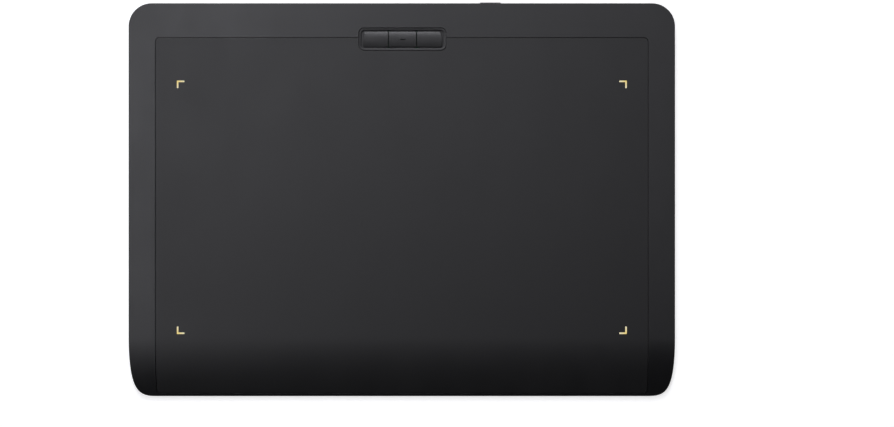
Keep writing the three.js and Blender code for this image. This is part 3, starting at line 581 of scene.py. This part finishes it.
OUTLINE = tablet_outline()
trim_low, trim_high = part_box("key_well_trim")
WELL = ((trim_low.x + trim_high.x) / 2, (trim_low.y + trim_high.y) / 2)
usb_low, usb_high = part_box("usb_c_shell")
USB_CENTRE = ((usb_low.x + usb_high.x) / 2, (usb_low.z + usb_high.z) / 2)
USB_SIZE = (usb_high.x - usb_low.x, usb_high.z - usb_low.z)
lens_low, lens_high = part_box("status_lens")
LENS_CENTRE = ((lens_low.x + lens_high.x) / 2, (lens_low.z + lens_high.z) / 2)
LENS_RADIUS = (lens_high.x - lens_low.x) / 2
slider_travel = next(joint for joint in frame["joints"] if joint["name"] == "power_slide")["range_m"][1]

slider_low, slider_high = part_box("power_slider_cap")
SLIDER_PLATE_GROWTH = 1.5 * MM
SLIDER_X = (slider_low.x + SLIDER_PLATE_GROWTH, slider_high.x - SLIDER_PLATE_GROWTH)
SLIDER_Z = (4.2 * MM, 6 * MM)
SLIDER_CORNER = 0.55 * MM
SLIDER_EDGE = 0.3 * MM
SLIDER_CLEARANCE = 0.15 * MM
SLIDER_SLOT_CORNER = 0.6 * MM
SLIDER_MOUTH_EDGE = 0.2 * MM
SLIDER_PLATE_Y = (112.3 * MM, 113.2 * MM)
SLIDER_TAB_X = (0.7 * MM, 1.5 * MM)
SLIDER_TAB_Z = (4.3 * MM, 5.1 * MM)
SLIDER_TAB_ROOT = 0.1 * MM

USB_CLEARANCE = 0.3 * MM
USB_MOUTH_EDGE = 0.3 * MM
USB_WALL = 0.3 * MM
USB_LIP = 0.1 * MM
TONGUE_CORNER = 0.25 * MM
TONGUE_EDGE = 0.15 * MM
CONTACT_COUNT = 12
CONTACT_PITCH = 0.5 * MM
CONTACT_HALF_WIDTH = 0.13 * MM
CONTACT_REACH = (3.2 * MM, 0.5 * MM)
CONTACT_CORNER = 0.08 * MM
CONTACT_THICKNESS = 0.05 * MM
CONTACT_SINKS = (0.02 * MM, 0.03 * MM)

LENS_CLEARANCE = 0.2 * MM
LENS_MOUTH_EDGE = 0.15 * MM
LENS_EDGE = 0.4 * MM

FOOT_CLEARANCE = 0.25 * MM
FOOT_EDGE = 0.35 * MM
FOOT_RECESS_TOP = 1.2 * MM
LABEL_CLEARANCE = 0.15 * MM
LABEL_CORNER = 2 * MM
LABEL_EDGE = 0.04 * MM
LABEL_RECESS_TOP = 1 * MM
RECESS_EDGE = 0.15 * MM

TOP_BOSS_RADIUS = 3 * MM
TOP_BOSS_FOOT = 2.95 * MM
TOP_BOSS_ROOT = CEILING_Z + 0.5 * MM
PILOT_RADIUS = 1.05 * MM
PILOT_TOP = 5.6 * MM
PILOT_TIP = 5.9 * MM
BASE_BOSS_RADIUS = 3.6 * MM
BASE_BOSS_TOP = 2.85 * MM
HEAD_RECESS_RADIUS = 2.2 * MM
HEAD_SEAT = 1.95 * MM
SHANK_HOLE_RADIUS = 1.15 * MM

RIB_FOOT = FLOOR_Z - 0.5 * MM
RIB_TOP = 4.5 * MM
RIB_HALF_WIDTH = 0.6 * MM
RIB_ROWS = (-60 * MM, -20 * MM, 20 * MM, 60 * MM)
RIB_COLUMNS = (-90 * MM, -30 * MM, 30 * MM, 90 * MM)

SCREW_HEAD_TOP = 1.85 * MM
SCREW_DOME = ((0.55, 0.02 * MM), (0.85, 0.12 * MM), (1, 0.38 * MM))
THREAD_CREST = 0.8 * MM
THREAD_ROOT = 0.62 * MM
THREAD_START = 0.2 * MM
THREAD_END = 0.5 * MM
THREAD_PITCH = 0.35 * MM
THREAD_FLANK = 0.15 * MM
THREAD_VALLEY = 0.2 * MM
SCREW_POINT = (0.7 * MM, 0.4 * MM)
CROSS_ARM = (1.05 * MM, 0.24 * MM)
CROSS_CORNER = 0.12 * MM
CROSS_START = 0.2 * MM
CROSS_RINGS = ((0.02 * MM, 0), (0.16 * MM, 0.6 * MM))

TRIM_FLANGE = 1.5 * MM
TRIM_FLANGE_TOP = CEILING_Z - 0.1 * MM
TRIM_POCKET = 0.6 * MM
TRIM_POCKET_TOP = 6.5 * MM


def cavity_outline():
    corners = [
        (-SIDE_X + WALL, CAVITY_FRONT_Y, CAVITY_FRONT_CORNER),
        (SIDE_X - WALL, CAVITY_FRONT_Y, CAVITY_FRONT_CORNER),
        (SIDE_X - WALL, REAR_Y - WALL, CAVITY_REAR_CORNER),
        (-SIDE_X + WALL, REAR_Y - WALL, CAVITY_REAR_CORNER),
    ]
    return rounded_polygon(corners, 10)


def mouth(outline, edge):
    """A cutter through the rear wall, in X and Z, with a rounded edge where it comes out."""
    rings = [(0, REAR_Y - WALL - 2 * PAST)] + flare_up(REAR_Y, edge)
    return facing_rear(stacked("mouth", outline, rings))


def rear_wall_cutters():
    slider = rounded_rectangle(
        (SLIDER_X[0] - SLIDER_CLEARANCE, SLIDER_Z[0] - SLIDER_CLEARANCE),
        (SLIDER_X[1] + slider_travel + SLIDER_CLEARANCE, SLIDER_Z[1] + SLIDER_CLEARANCE),
        SLIDER_SLOT_CORNER, 6)
    usb_size = tuple(side + 2 * USB_CLEARANCE for side in USB_SIZE)
    usb = rectangle_at(USB_CENTRE, usb_size, usb_size[1] / 2 * ROUND_HOLE, 12)
    lens_size = (2 * (LENS_RADIUS + LENS_CLEARANCE),) * 2
    lens = rectangle_at(LENS_CENTRE, lens_size, lens_size[0] / 2 * ROUND_HOLE, 8)
    return [
        mouth(slider, SLIDER_MOUTH_EDGE), mouth(usb, USB_MOUTH_EDGE), mouth(lens, LENS_MOUTH_EDGE)]


def corner_loop(name, growth=0.0):
    """The L outline of one corner light. It opens towards the middle of the active area."""
    low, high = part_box(name)
    sign_x = math.copysign(1, low.x)
    sign_y = math.copysign(1, low.y)
    corner = (high.x if sign_x > 0 else low.x, high.y if sign_y > 0 else low.y)

    def at(across, along, radius):
        return (corner[0] - sign_x * across, corner[1] - sign_y * along, radius)

    outer, inner = LIGHT_OUTER_CORNER, LIGHT_INNER_CORNER
    corners = [
        at(-growth, -growth, outer),
        at(LIGHT_ARM + growth, -growth, outer),
        at(LIGHT_ARM + growth, LIGHT_STROKE + growth, outer),
        at(LIGHT_STROKE + growth, LIGHT_STROKE + growth, inner),
        at(LIGHT_STROKE + growth, LIGHT_ARM + growth, outer),
        at(-growth, LIGHT_ARM + growth, outer),
    ]
    if sign_x * sign_y < 0:
        corners.reverse()
    return rounded_polygon(corners, 5)


LIGHT_NAMES = [f"corner_light_{end}_{side}" for end in ("rear", "front") for side in ("left", "right")]


def counterclockwise(outline):
    area = sum(a[0] * b[1] - b[0] * a[1] for a, b in zip(outline, outline[1:] + outline[:1]))
    if area < 0:
        raise ValueError("an outline runs clockwise")
    return outline


def light_cutters(edge):
    return [
        stacked("slot", counterclockwise(corner_loop(name, LIGHT_CLEARANCE)),
                [(0, CEILING_Z - PAST)] + flare_up(TOP_Z, edge, 3))
        for name in LIGHT_NAMES
    ]


def make_top_cover():
    rings = [
        (PARTING_CHAMFER, PARTING_Z + PARTING_GAP / 2),
        (0, PARTING_Z + PARTING_GAP / 2 + PARTING_CHAMFER),
    ] + fillet_up(0, TOP_Z, RIM_RADIUS, 10)
    cover = stacked("top_shell", OUTLINE, rings)
    cavity = stacked("cavity", cavity_outline(), [(0, 0), (0, CEILING_Z)])
    recess_outline = rounded_rectangle(
        (sheet_low.x - SHEET_GROOVE, sheet_low.y - SHEET_GROOVE),
        (sheet_high.x + RIGHT_GROOVE, sheet_high.y + REAR_GROOVE), SHEET_CORNER + SHEET_GROOVE, 12)
    recess = stacked(
        "recess", recess_outline, [(0, SHEET_BOTTOM - SHEET_BEDDING)] + flare_up(TOP_Z, GROOVE_EDGE))
    channel = banded("channel", recess_outline, [
        (0, GLUE_CHANNEL_Z), (REAR_GROOVE, GLUE_CHANNEL_Z), (REAR_GROOVE, TOP_Z), (0, TOP_Z)])
    well_size = tuple(side + 2 * TRIM_CLEARANCE for side in TRIM_OUTER)
    well = stacked(
        "well", rectangle_at(WELL, well_size, TRIM_CORNER + TRIM_CLEARANCE, 12),
        [(0, CEILING_Z - PAST)] + flare_up(TOP_Z, GROOVE_EDGE))
    cut(cover, cavity)
    cut(cover, recess)
    cut(cover, channel)
    cut(cover, well)
    cut(cover, *light_cutters(COVER_SLOT_EDGE))
    cut(cover, *rear_wall_cutters())
    add(cover, *top_bosses())
    draped(cover)
    return place(cover, "top_shell", "tablet", "cover_plastic", COVER, ["top_cover"])


def screw_places():
    places = []
    for name in sorted(frame["nodes"]):
        if name.startswith("screw_"):
            low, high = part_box(name)
            places.append((name, (low.x + high.x) / 2, (low.y + high.y) / 2))
    return places


def top_bosses():
    """Screw bosses under the top cover, each with its pilot hole, left open at the bottom."""
    chamfer = CORNER_CHAMFER
    section = [
        (0, TOP_BOSS_ROOT), (TOP_BOSS_RADIUS, TOP_BOSS_ROOT),
        (TOP_BOSS_RADIUS, TOP_BOSS_FOOT + chamfer), (TOP_BOSS_RADIUS - chamfer, TOP_BOSS_FOOT),
        (PILOT_RADIUS + chamfer, TOP_BOSS_FOOT), (PILOT_RADIUS, TOP_BOSS_FOOT + chamfer),
        (PILOT_RADIUS, PILOT_TOP), (0, PILOT_TIP)]
    return [turned("boss", section, (x, y), 24) for _, x, y in screw_places()]


def undercut_rings():
    """The underside's edge, a quarter of an ellipse up to the parting line's chamfer."""
    rim_z = PARTING_Z - PARTING_GAP / 2
    height = rim_z - PARTING_CHAMFER - SHELL_BOTTOM
    rings = [
        (UNDERCUT * (1 - math.sin(a)), SHELL_BOTTOM + (1 - math.cos(a)) * height)
        for a in quarter_turn(10)
    ]
    return rings + [(PARTING_CHAMFER, rim_z)]


def foot_recesses():
    recesses = []
    for name in FOOT_NAMES:
        outline = foot_outline(name, FOOT_CLEARANCE, 12)
        recesses.append(stacked("foot_recess", outline, recess_rings(FOOT_RECESS_TOP)))
    return recesses


def label_recess():
    low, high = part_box("rating_label")
    outline = rounded_rectangle(
        (low.x - LABEL_CLEARANCE, low.y - LABEL_CLEARANCE),
        (high.x + LABEL_CLEARANCE, high.y + LABEL_CLEARANCE), LABEL_CORNER + LABEL_CLEARANCE, 8)
    return stacked("label_recess", outline, recess_rings(LABEL_RECESS_TOP))


def make_bottom_cover():
    base = stacked("bottom_shell", OUTLINE, undercut_rings())
    cavity = stacked("cavity", cavity_outline(), [(0, FLOOR_Z), (0, TOP_Z)])
    cut(base, cavity)
    add(base, *support_ribs())
    cut(base, *foot_recesses())
    cut(base, label_recess())
    heads = [turned("head_recess", head_section(), (x, y), 32) for _, x, y in screw_places()]
    cut(base, *heads)
    cut(base, *rear_wall_cutters())
    draped(base)
    return place(base, "bottom_shell", "tablet", "cover_plastic", COVER, ["bottom_cover"])


def recess_rings(top):
    """A cutter from below, with a rounded edge at the underside."""
    rings = [
        (-RECESS_EDGE * (1 - math.sin(a)), SHELL_BOTTOM + RECESS_EDGE * (1 - math.cos(a)))
        for a in quarter_turn(4)
    ]
    return [(-RECESS_EDGE, SHELL_BOTTOM - PAST)] + rings + [(0, top)]


def head_section():
    """A screw head's recess and the shank's hole through the floor and its boss."""
    start = SHELL_BOTTOM - PAST
    radius = HEAD_RECESS_RADIUS
    return [
        (0, start), (radius + RECESS_EDGE, start), (radius + RECESS_EDGE, SHELL_BOTTOM),
        (radius, SHELL_BOTTOM + RECESS_EDGE), (radius, HEAD_SEAT), (SHANK_HOLE_RADIUS, HEAD_SEAT),
        (SHANK_HOLE_RADIUS, CEILING_Z), (0, CEILING_Z)]


def support_ribs():
    """The grid under the sensor, the rails beside the battery and the bottom cover's screw bosses."""
    plate_low, plate_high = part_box("shield_plate")
    cell_low, cell_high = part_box("battery_cell")
    rows = [
        block((plate_low.x + PAST, y - RIB_HALF_WIDTH, RIB_FOOT),
              (plate_high.x - PAST, y + RIB_HALF_WIDTH, RIB_TOP))
        for y in RIB_ROWS
    ]
    columns = [
        block((x - RIB_HALF_WIDTH, plate_low.y + PAST, RIB_FOOT),
              (x + RIB_HALF_WIDTH, plate_high.y - PAST, RIB_TOP))
        for x in RIB_COLUMNS
    ]
    rails = [
        block((x - RIB_HALF_WIDTH, cell_low.y, RIB_FOOT),
              (x + RIB_HALF_WIDTH, cell_high.y - 3 * PAST, RIB_TOP))
        for x in (cell_low.x - PAST, cell_high.x + PAST)
    ]
    grid = joined(rows)
    add(grid, *columns, *rails)
    section = [
        (0, RIB_FOOT), (BASE_BOSS_RADIUS, RIB_FOOT), (BASE_BOSS_RADIUS, BASE_BOSS_TOP - CORNER_CHAMFER),
        (BASE_BOSS_RADIUS - CORNER_CHAMFER, BASE_BOSS_TOP), (0, BASE_BOSS_TOP)]
    return [grid] + [turned("boss", section, (x, y), 24) for _, x, y in screw_places()]


FOOT_NAMES = [f"foot_{end}_{side}" for end in ("front", "rear") for side in ("left", "right")]


def foot_outline(name, growth, steps):
    low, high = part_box(name)
    size = (high.x - low.x + 2 * growth, high.y - low.y + 2 * growth)
    centre = ((low.x + high.x) / 2, (low.y + high.y) / 2)
    return rectangle_at(centre, size, size[1] / 2 * ROUND_END, steps)


def make_sheet():
    notch_left, notch_right = (WELL[0] + side * (TRIM_OUTER[0] / 2 + SHEET_TO_TRIM) for side in (-1, 1))
    notch_y = WELL[1] - TRIM_OUTER[1] / 2 - SHEET_TO_TRIM
    corners = [
        (sheet_low.x, sheet_low.y, SHEET_CORNER),
        (sheet_high.x, sheet_low.y, SHEET_CORNER),
        (sheet_high.x, sheet_high.y, SHEET_CORNER),
        (notch_right, sheet_high.y, NOTCH_MOUTH_RADIUS),
        (notch_right, notch_y, TRIM_CORNER + SHEET_TO_TRIM),
        (notch_left, notch_y, TRIM_CORNER + SHEET_TO_TRIM),
        (notch_left, sheet_high.y, NOTCH_MOUTH_RADIUS),
        (sheet_low.x, sheet_high.y, SHEET_CORNER),
    ]
    rings = [(0, SHEET_BOTTOM)] + fillet_up(0, TOP_Z, SHEET_EDGE, 4)
    sheet = stacked("sheet", counterclockwise(rounded_polygon(corners, 10)), rings)
    cut(sheet, *light_cutters(SHEET_SLOT_EDGE))
    draped(sheet)
    return place(sheet, "drawing_film", "tablet", "drawing_sheet", SHEET, ["drawing_sheet"])


def make_corner_lights():
    for name in LIGHT_NAMES:
        low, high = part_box(name)
        rings = [(0, low.z)] + fillet_up(0, TOP_Z - LIGHT_SINK, LIGHT_EDGE, 4)
        window = stacked(name, counterclockwise(corner_loop(name)), rings)
        for axis in (0, 1):
            stations = [low[axis] + LIGHT_ARM * step / LIGHT_SLICES for step in range(1, LIGHT_SLICES)]
            sliced(window, axis, stations)
        corner = Vector((max(low.x, high.x, key=abs), max(low.y, high.y, key=abs), 0))
        glow = window.data.attributes.new(GLOW, "FLOAT", "POINT")
        for vertex, value in zip(window.data.vertices, glow.data):
            away = vertex.co - corner
            value.value = max(abs(away.x), abs(away.y)) / LIGHT_ARM
        place(window, name + "_window", "tablet", "corner_light", LIGHT, [name])


def make_trim():
    inner_top = TRIM_TOP - TRIM_FALL
    section = [
        (TRIM_POCKET, trim_low.z), (-TRIM_FLANGE, trim_low.z),
        (-TRIM_FLANGE, TRIM_FLANGE_TOP), (0, TRIM_FLANGE_TOP)]
    section += fillet_up(0, TRIM_TOP, TRIM_EDGE, 4)
    section += [(TRIM_WIDTH - inset, z) for inset, z in reversed(fillet_up(0, inner_top, TRIM_EDGE, 4))]
    section += [(TRIM_WIDTH, TRIM_POCKET_TOP), (TRIM_POCKET, TRIM_POCKET_TOP)]
    outline = rectangle_at(WELL, TRIM_OUTER, TRIM_CORNER, 14)
    ring = banded("trim", outline, section)
    return place(ring, "key_well_ring", "tablet", "trim_plastic", TRIM, ["key_well_trim"])


KEY_EDGE = 0.2 * MM
KEY_SIDE_CORNER = 0.25 * MM
KEY_FRONT_CORNER = 1.6 * MM
KEY_REAR_CORNER = 0.6 * MM
KEY_CAP_END = 23.3 * MM
KEY_LEAN = 1.2 * MM
KEY_LEAN_FROM = 0.1
KEY_BEND_RADIUS = 3 * MM
KEY_CREST = 0.66 * MM
KEY_REAR_RADIUS = 11 * MM
KEY_FRONT_RADIUS = 27.8 * MM
KEY_CROWN_ROWS = 18
KEY_CROWN_FOOT = TOP_Z - 1.2 * MM
KEY_FLANGE_REACH = 1.05 * MM
KEY_FLANGE_INSET = 1 * MM
KEY_FLANGE_RISE = 0.55 * MM
KEY_FLANGE_CORNER = 2.15 * MM

TICK_HALF_LENGTH = 1.9 * MM
TICK_HALF_WIDTH = 0.34 * MM
TICK_DEPTH = 0.42 * MM
TICK_SAG = 0.25 * MM
TICK_STEPS = 14
TICK_BLUNT = 0.08


def key_outline(side, left, right, middle_y, half):
    """A cap's outline. The outer ends of the side keys lean outwards from the rear to the front."""
    front, rear = middle_y - half, middle_y + half
    if side == "middle":
        return rounded_rectangle((left, front), (right, rear), KEY_SIDE_CORNER, 4)
    inner, end = (right, left) if side == "left" else (left, right)
    inward = math.copysign(1, inner - end)
    corners = [
        (inner, front, KEY_SIDE_CORNER),
        (end, front, KEY_FRONT_CORNER),
        (end, middle_y + half * KEY_LEAN_FROM, KEY_BEND_RADIUS),
        (end + inward * KEY_LEAN, rear, KEY_REAR_CORNER),
        (inner, rear, KEY_SIDE_CORNER),
    ]
    if side == "left":
        corners.reverse()
    return counterclockwise(rounded_polygon(corners))


def key_flange(side, low, high):
    """The flange that keeps a key in under the trim. It runs on past the outer ends of the side keys."""
    left = low.x if side == "left" else low.x + KEY_FLANGE_INSET
    right = high.x if side == "right" else high.x - KEY_FLANGE_INSET
    square = KEY_SIDE_CORNER
    left_corner = KEY_FLANGE_CORNER if side == "left" else square
    right_corner = KEY_FLANGE_CORNER if side == "right" else square
    corners = [(left, low.y, left_corner), (right, low.y, right_corner),
               (right, high.y, right_corner), (left, high.y, left_corner)]
    return stacked("flange", rounded_polygon(corners, 6), [(0, low.z), (0, low.z + KEY_FLANGE_RISE)])


def tick_cutter(middle_y):
    """A shallow crescent with steep sides, whose tips curve towards the rear."""
    slope = TICK_HALF_WIDTH / TICK_DEPTH
    lift = KEY_EDGE
    bm = bmesh.new()
    sections = []
    for step in range(TICK_STEPS + 1):
        share = 2 * step / TICK_STEPS - 1
        fullness = max(TICK_BLUNT, math.sqrt(1 - share ** 2))
        x = WELL[0] + share * TICK_HALF_LENGTH
        y = middle_y - TICK_SAG * (1 - share ** 2)
        reach = TICK_HALF_WIDTH * fullness + lift * slope
        sections.append([
            bm.verts.new((x, y - reach, TOP_Z + lift)),
            bm.verts.new((x, y + reach, TOP_Z + lift)),
            bm.verts.new((x, y, TOP_Z - TICK_DEPTH * fullness)),
        ])
    for near, far in zip(sections, sections[1:]):
        join_loops(bm, near, far)
    bm.faces.new(sections[0][::-1])
    bm.faces.new(sections[-1])
    return finished(bm, "tick")


def key_drop(y):
    """How far the crown has fallen at y. It has its crest a little to the rear, and is rounder there."""
    run = y - KEY_CREST
    return run ** 2 / (2 * (KEY_REAR_RADIUS if run > 0 else KEY_FRONT_RADIUS))


def make_key(side):
    node = f"key_{side}"
    low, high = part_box(node)
    half = (high.y - low.y) / 2 - KEY_FLANGE_REACH
    middle_y = (low.y + high.y) / 2
    left = WELL[0] - KEY_CAP_END if side == "left" else low.x
    right = WELL[0] + KEY_CAP_END if side == "right" else high.x
    rings = [(0, low.z)] + fillet_up(0, TOP_Z, KEY_EDGE, 5)
    key = stacked(node, key_outline(side, left, right, middle_y, half), rings)
    if side == "middle":
        cut(key, tick_cutter(middle_y))
    rows = KEY_CROWN_ROWS
    sliced(key, 1, [middle_y + half * (2 * row / rows - 1) for row in range(1, rows)])
    for vertex in key.data.vertices:
        if vertex.co.z > KEY_CROWN_FOOT:
            vertex.co.z -= key_drop(vertex.co.y - middle_y)
    add(key, key_flange(side, low, high))
    return place(key, f"{node}_cap", node, "key_plastic", KEY, [node])


def make_slider():
    """The nub in the rear slot, the plate that keeps it in, and the fork round the switch's lever."""
    low, high = slider_low, slider_high
    outline = rounded_rectangle((SLIDER_X[0], SLIDER_Z[0]), (SLIDER_X[1], SLIDER_Z[1]), SLIDER_CORNER, 8)
    inner_y, outer_y = SLIDER_PLATE_Y
    rings = [(0, inner_y)] + fillet_up(0, high.y, SLIDER_EDGE, 6)
    nub = facing_rear(stacked("nub", outline, rings))
    add(nub, block((low.x, inner_y, low.z), (high.x, outer_y, high.z)))
    middle = (low.x + high.x) / 2
    tabs = []
    for side in (-1, 1):
        near, far = sorted(middle + side * reach for reach in SLIDER_TAB_X)
        tabs.append(block(
            (near, low.y, SLIDER_TAB_Z[0]), (far, inner_y + SLIDER_TAB_ROOT, SLIDER_TAB_Z[1])))
    add(nub, *tabs)
    return place(nub, "power_slider_nub", "power_slider", "slider_plastic", SLIDER, ["power_slider_cap"])


def make_usb():
    make_usb_shell()
    make_usb_tongue()
    make_usb_contacts()


def make_usb_shell():
    outline = rectangle_at(USB_CENTRE, USB_SIZE, USB_SIZE[1] / 2 * ROUND_END, 14)
    back, front = usb_low.y, usb_high.y
    lip = fillet_up(0, front, USB_LIP, 4)
    rings = [(0, back)] + lip
    rings += [(USB_WALL - inset, y) for inset, y in reversed(lip)]
    rings += [(USB_WALL, back + USB_WALL)]
    shell = facing_rear(stacked("usb_shell", outline, rings))
    place(shell, "usb_c_inlet", "tablet", "steel", STEEL, ["usb_c_shell"])


def make_usb_tongue():
    low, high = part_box("usb_c_tongue")
    outline = rectangle_at(USB_CENTRE, (high.x - low.x, high.z - low.z), TONGUE_CORNER, 4)
    rings = [(0, low.y)] + fillet_up(0, high.y, TONGUE_EDGE, 3)
    tongue = facing_rear(stacked("tongue", outline, rings))
    place(tongue, "usb_c_contact_tongue", "tablet", "dark_plastic", DARK_PLASTIC, ["usb_c_tongue"])


def make_usb_contacts():
    low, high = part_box("usb_c_tongue")
    back, front = (high.y - reach for reach in CONTACT_REACH)
    strips = []
    for column in range(CONTACT_COUNT):
        x = USB_CENTRE[0] + (column - (CONTACT_COUNT - 1) / 2) * CONTACT_PITCH
        for z in (low.z - CONTACT_SINKS[0], high.z - CONTACT_SINKS[1]):
            outline = rounded_rectangle(
                (x - CONTACT_HALF_WIDTH, back), (x + CONTACT_HALF_WIDTH, front), CONTACT_CORNER, 3)
            strips.append(stacked("strip", outline, [(0, z), (0, z + CONTACT_THICKNESS)]))
    place(joined(strips), "usb_c_contacts", "tablet", "steel", GOLD, [])


def make_lens():
    outline = rectangle_at(LENS_CENTRE, (2 * LENS_RADIUS,) * 2, LENS_RADIUS * ROUND_HOLE, 8)
    rings = [(0, lens_low.y)] + fillet_up(0, lens_high.y, LENS_EDGE, 6)
    lens = facing_rear(stacked("lens", outline, rings))
    place(lens, "status_light_lens", "tablet", "clear_lens", LENS, ["status_lens"])


def screw_section(low, high):
    """What a pan-head screw is turned from. Plain rings stand in for its thread."""
    radius = (high.x - low.x) / 2
    section = [(0, low.z)] + [(radius * share, low.z + rise) for share, rise in SCREW_DOME]
    section += [(radius, SCREW_HEAD_TOP), (THREAD_CREST, SCREW_HEAD_TOP)]
    z = SCREW_HEAD_TOP + THREAD_START
    while z < high.z - THREAD_END:
        section += [(THREAD_CREST, z), (THREAD_ROOT, z + THREAD_FLANK), (THREAD_ROOT, z + THREAD_VALLEY)]
        z += THREAD_PITCH
    return section + [(SCREW_POINT[0], z), (SCREW_POINT[1], high.z), (0, high.z)]


def cross_recess(x, y, head_z):
    """A cutter for the driver's recess: two crossed arms, narrower as they go in."""
    rings = [(0, head_z - CROSS_START)] + [(inset, head_z + rise) for inset, rise in CROSS_RINGS]
    arms = []
    for half_x, half_y in (CROSS_ARM, CROSS_ARM[::-1]):
        outline = rounded_rectangle((x - half_x, y - half_y), (x + half_x, y + half_y), CROSS_CORNER, 3)
        arms.append(stacked("arm", outline, rings))
    return add(*arms)


def make_screws():
    for name, x, y in screw_places():
        low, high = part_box(name)
        screw = turned("screw", screw_section(low, high), (x, y), 28)
        cut(screw, cross_recess(x, y, low.z))
        place(screw, name + "_head", "tablet", "screw_steel", SCREW_STEEL, [name])


def make_feet():
    for name in FOOT_NAMES:
        low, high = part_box(name)
        rings = fillet_down(0, low.z, FOOT_EDGE, 6) + [(0, high.z)]
        pad = stacked(name, foot_outline(name, 0, 16), rings)
        place(pad, name + "_pad", "tablet", "rubber", RUBBER, [name])


def make_label():
    low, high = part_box("rating_label")
    outline = rounded_rectangle((low.x, low.y), (high.x, high.y), LABEL_CORNER, 10)
    rings = fillet_down(0, low.z, LABEL_EDGE, 3) + [(0, high.z)]
    place(stacked("label", outline, rings), "blank_label", "tablet", "label", LABEL, ["rating_label"])


# ---- stage, light and camera ----

CAMERA_PLACE = (26.5 * MM, -7.8 * MM, 0.9)
FRAME_WIDTH = 0.5245
SENSOR_WIDTH = 36.0
LIGHT_TINT = (0.94, 0.94, 1.0)
STRIP_LIGHT = {"place": (-0.499, 0.179, 1.510), "size": (1.735, 0.129), "watts": 4.98}
OVERHEAD_LIGHT = {"place": (0.102, 0.871, 3.388), "size": (1.896, 2.338), "watts": 18.35}
REAR_LIGHT = {"place": (-0.099, 1.823, 1.708), "size": (0.509, 0.849), "watts": 23.8}
WHITE = (1, 1, 1, 1)
FLOOR_HALF_SIZE = 4
FLOOR_SQUARES = 24
FLOOR_BLOTCH = 0.3
FLOOR_ALBEDO = 0.7
FLOOR_UNEVEN = 1.02
FLOOR_GLOW = 0.65
BACKDROP = 0.92
AMBIENT = 0.005
WALL_GLOW = 0.3
WALL_FADE = (0.35, 0.6)


def make_floor():
    bm = bmesh.new()
    bmesh.ops.create_grid(bm, x_segments=FLOOR_SQUARES, y_segments=FLOOR_SQUARES, size=FLOOR_HALF_SIZE)
    floor = finished(bm, "floor")
    nodes = Nodes("light_table")
    nodes.constant(Roughness=0.9, Specular_IOR_Level=0.1, Emission_Strength=FLOOR_GLOW)
    dark, light = (FLOOR_ALBEDO,) * 3, (FLOOR_ALBEDO * FLOOR_UNEVEN,) * 3
    tone = nodes.between(nodes.noise(FLOOR_BLOTCH, 2), dark, light)
    nodes.link(tone, nodes.shader.inputs["Base Color"])
    nodes.shader.inputs["Emission Color"].default_value = WHITE
    floor.data.materials.append(nodes.material)


def make_light(name, spec):
    data = bpy.data.lights.new(name, "AREA")
    data.shape = "RECTANGLE"
    data.size, data.size_y = spec["size"]
    data.energy = spec["watts"]
    data.color = LIGHT_TINT
    lamp = bpy.data.objects.new(name, data)
    bpy.context.scene.collection.objects.link(lamp)
    lamp.location = spec["place"]
    lamp.rotation_mode = "QUATERNION"
    lamp.rotation_quaternion = (-Vector(spec["place"])).to_track_quat("-Z", "Y")
    lamp.visible_camera = False


def make_world():
    """Dark overhead, so that the soft boxes do the lighting, and paler down at the studio's walls."""
    world = bpy.data.worlds.new("studio")
    world.use_nodes = True
    tree = world.node_tree
    direction = tree.nodes.new("ShaderNodeTexCoord")
    height = tree.nodes.new("ShaderNodeSeparateXYZ")
    tree.links.new(direction.outputs["Generated"], height.inputs["Vector"])
    walls = tree.nodes.new("ShaderNodeMapRange")
    walls.interpolation_type = "SMOOTHSTEP"
    walls.inputs["From Min"].default_value, walls.inputs["From Max"].default_value = WALL_FADE
    walls.inputs["To Min"].default_value = WALL_GLOW
    walls.inputs["To Max"].default_value = AMBIENT
    tree.links.new(height.outputs["Z"], walls.inputs["Value"])
    studio = tree.nodes["Background"]
    studio.inputs["Color"].default_value = WHITE
    tree.links.new(walls.outputs["Result"], studio.inputs["Strength"])
    backdrop = tree.nodes.new("ShaderNodeBackground")
    backdrop.inputs["Color"].default_value = WHITE
    backdrop.inputs["Strength"].default_value = BACKDROP
    path = tree.nodes.new("ShaderNodeLightPath")
    mix = tree.nodes.new("ShaderNodeMixShader")
    tree.links.new(path.outputs["Is Camera Ray"], mix.inputs["Fac"])
    tree.links.new(studio.outputs["Background"], mix.inputs[1])
    tree.links.new(backdrop.outputs["Background"], mix.inputs[2])
    tree.links.new(mix.outputs["Shader"], tree.nodes["World Output"].inputs["Surface"])
    bpy.context.scene.world = world


def make_camera():
    data = bpy.data.cameras.new("camera")
    camera = bpy.data.objects.new("camera", data)
    bpy.context.scene.collection.objects.link(camera)
    camera.location = CAMERA_PLACE
    data.sensor_width = SENSOR_WIDTH
    data.lens = SENSOR_WIDTH * (CAMERA_PLACE[2] - TOP_Z) / FRAME_WIDTH
    bpy.context.scene.camera = camera


make_camera()
finish_cad_nodes()
make_top_cover()
make_bottom_cover()
make_sheet()
make_corner_lights()
make_trim()
for key_side in ("left", "middle", "right"):
    make_key(key_side)
make_slider()
make_usb()
make_lens()
make_screws()
make_feet()
make_label()
make_floor()
make_light("strip_light", STRIP_LIGHT)
make_light("overhead_light", OVERHEAD_LIGHT)
make_light("rear_light", REAR_LIGHT)
make_world()
bpy.context.scene.view_settings.view_transform = "Standard"
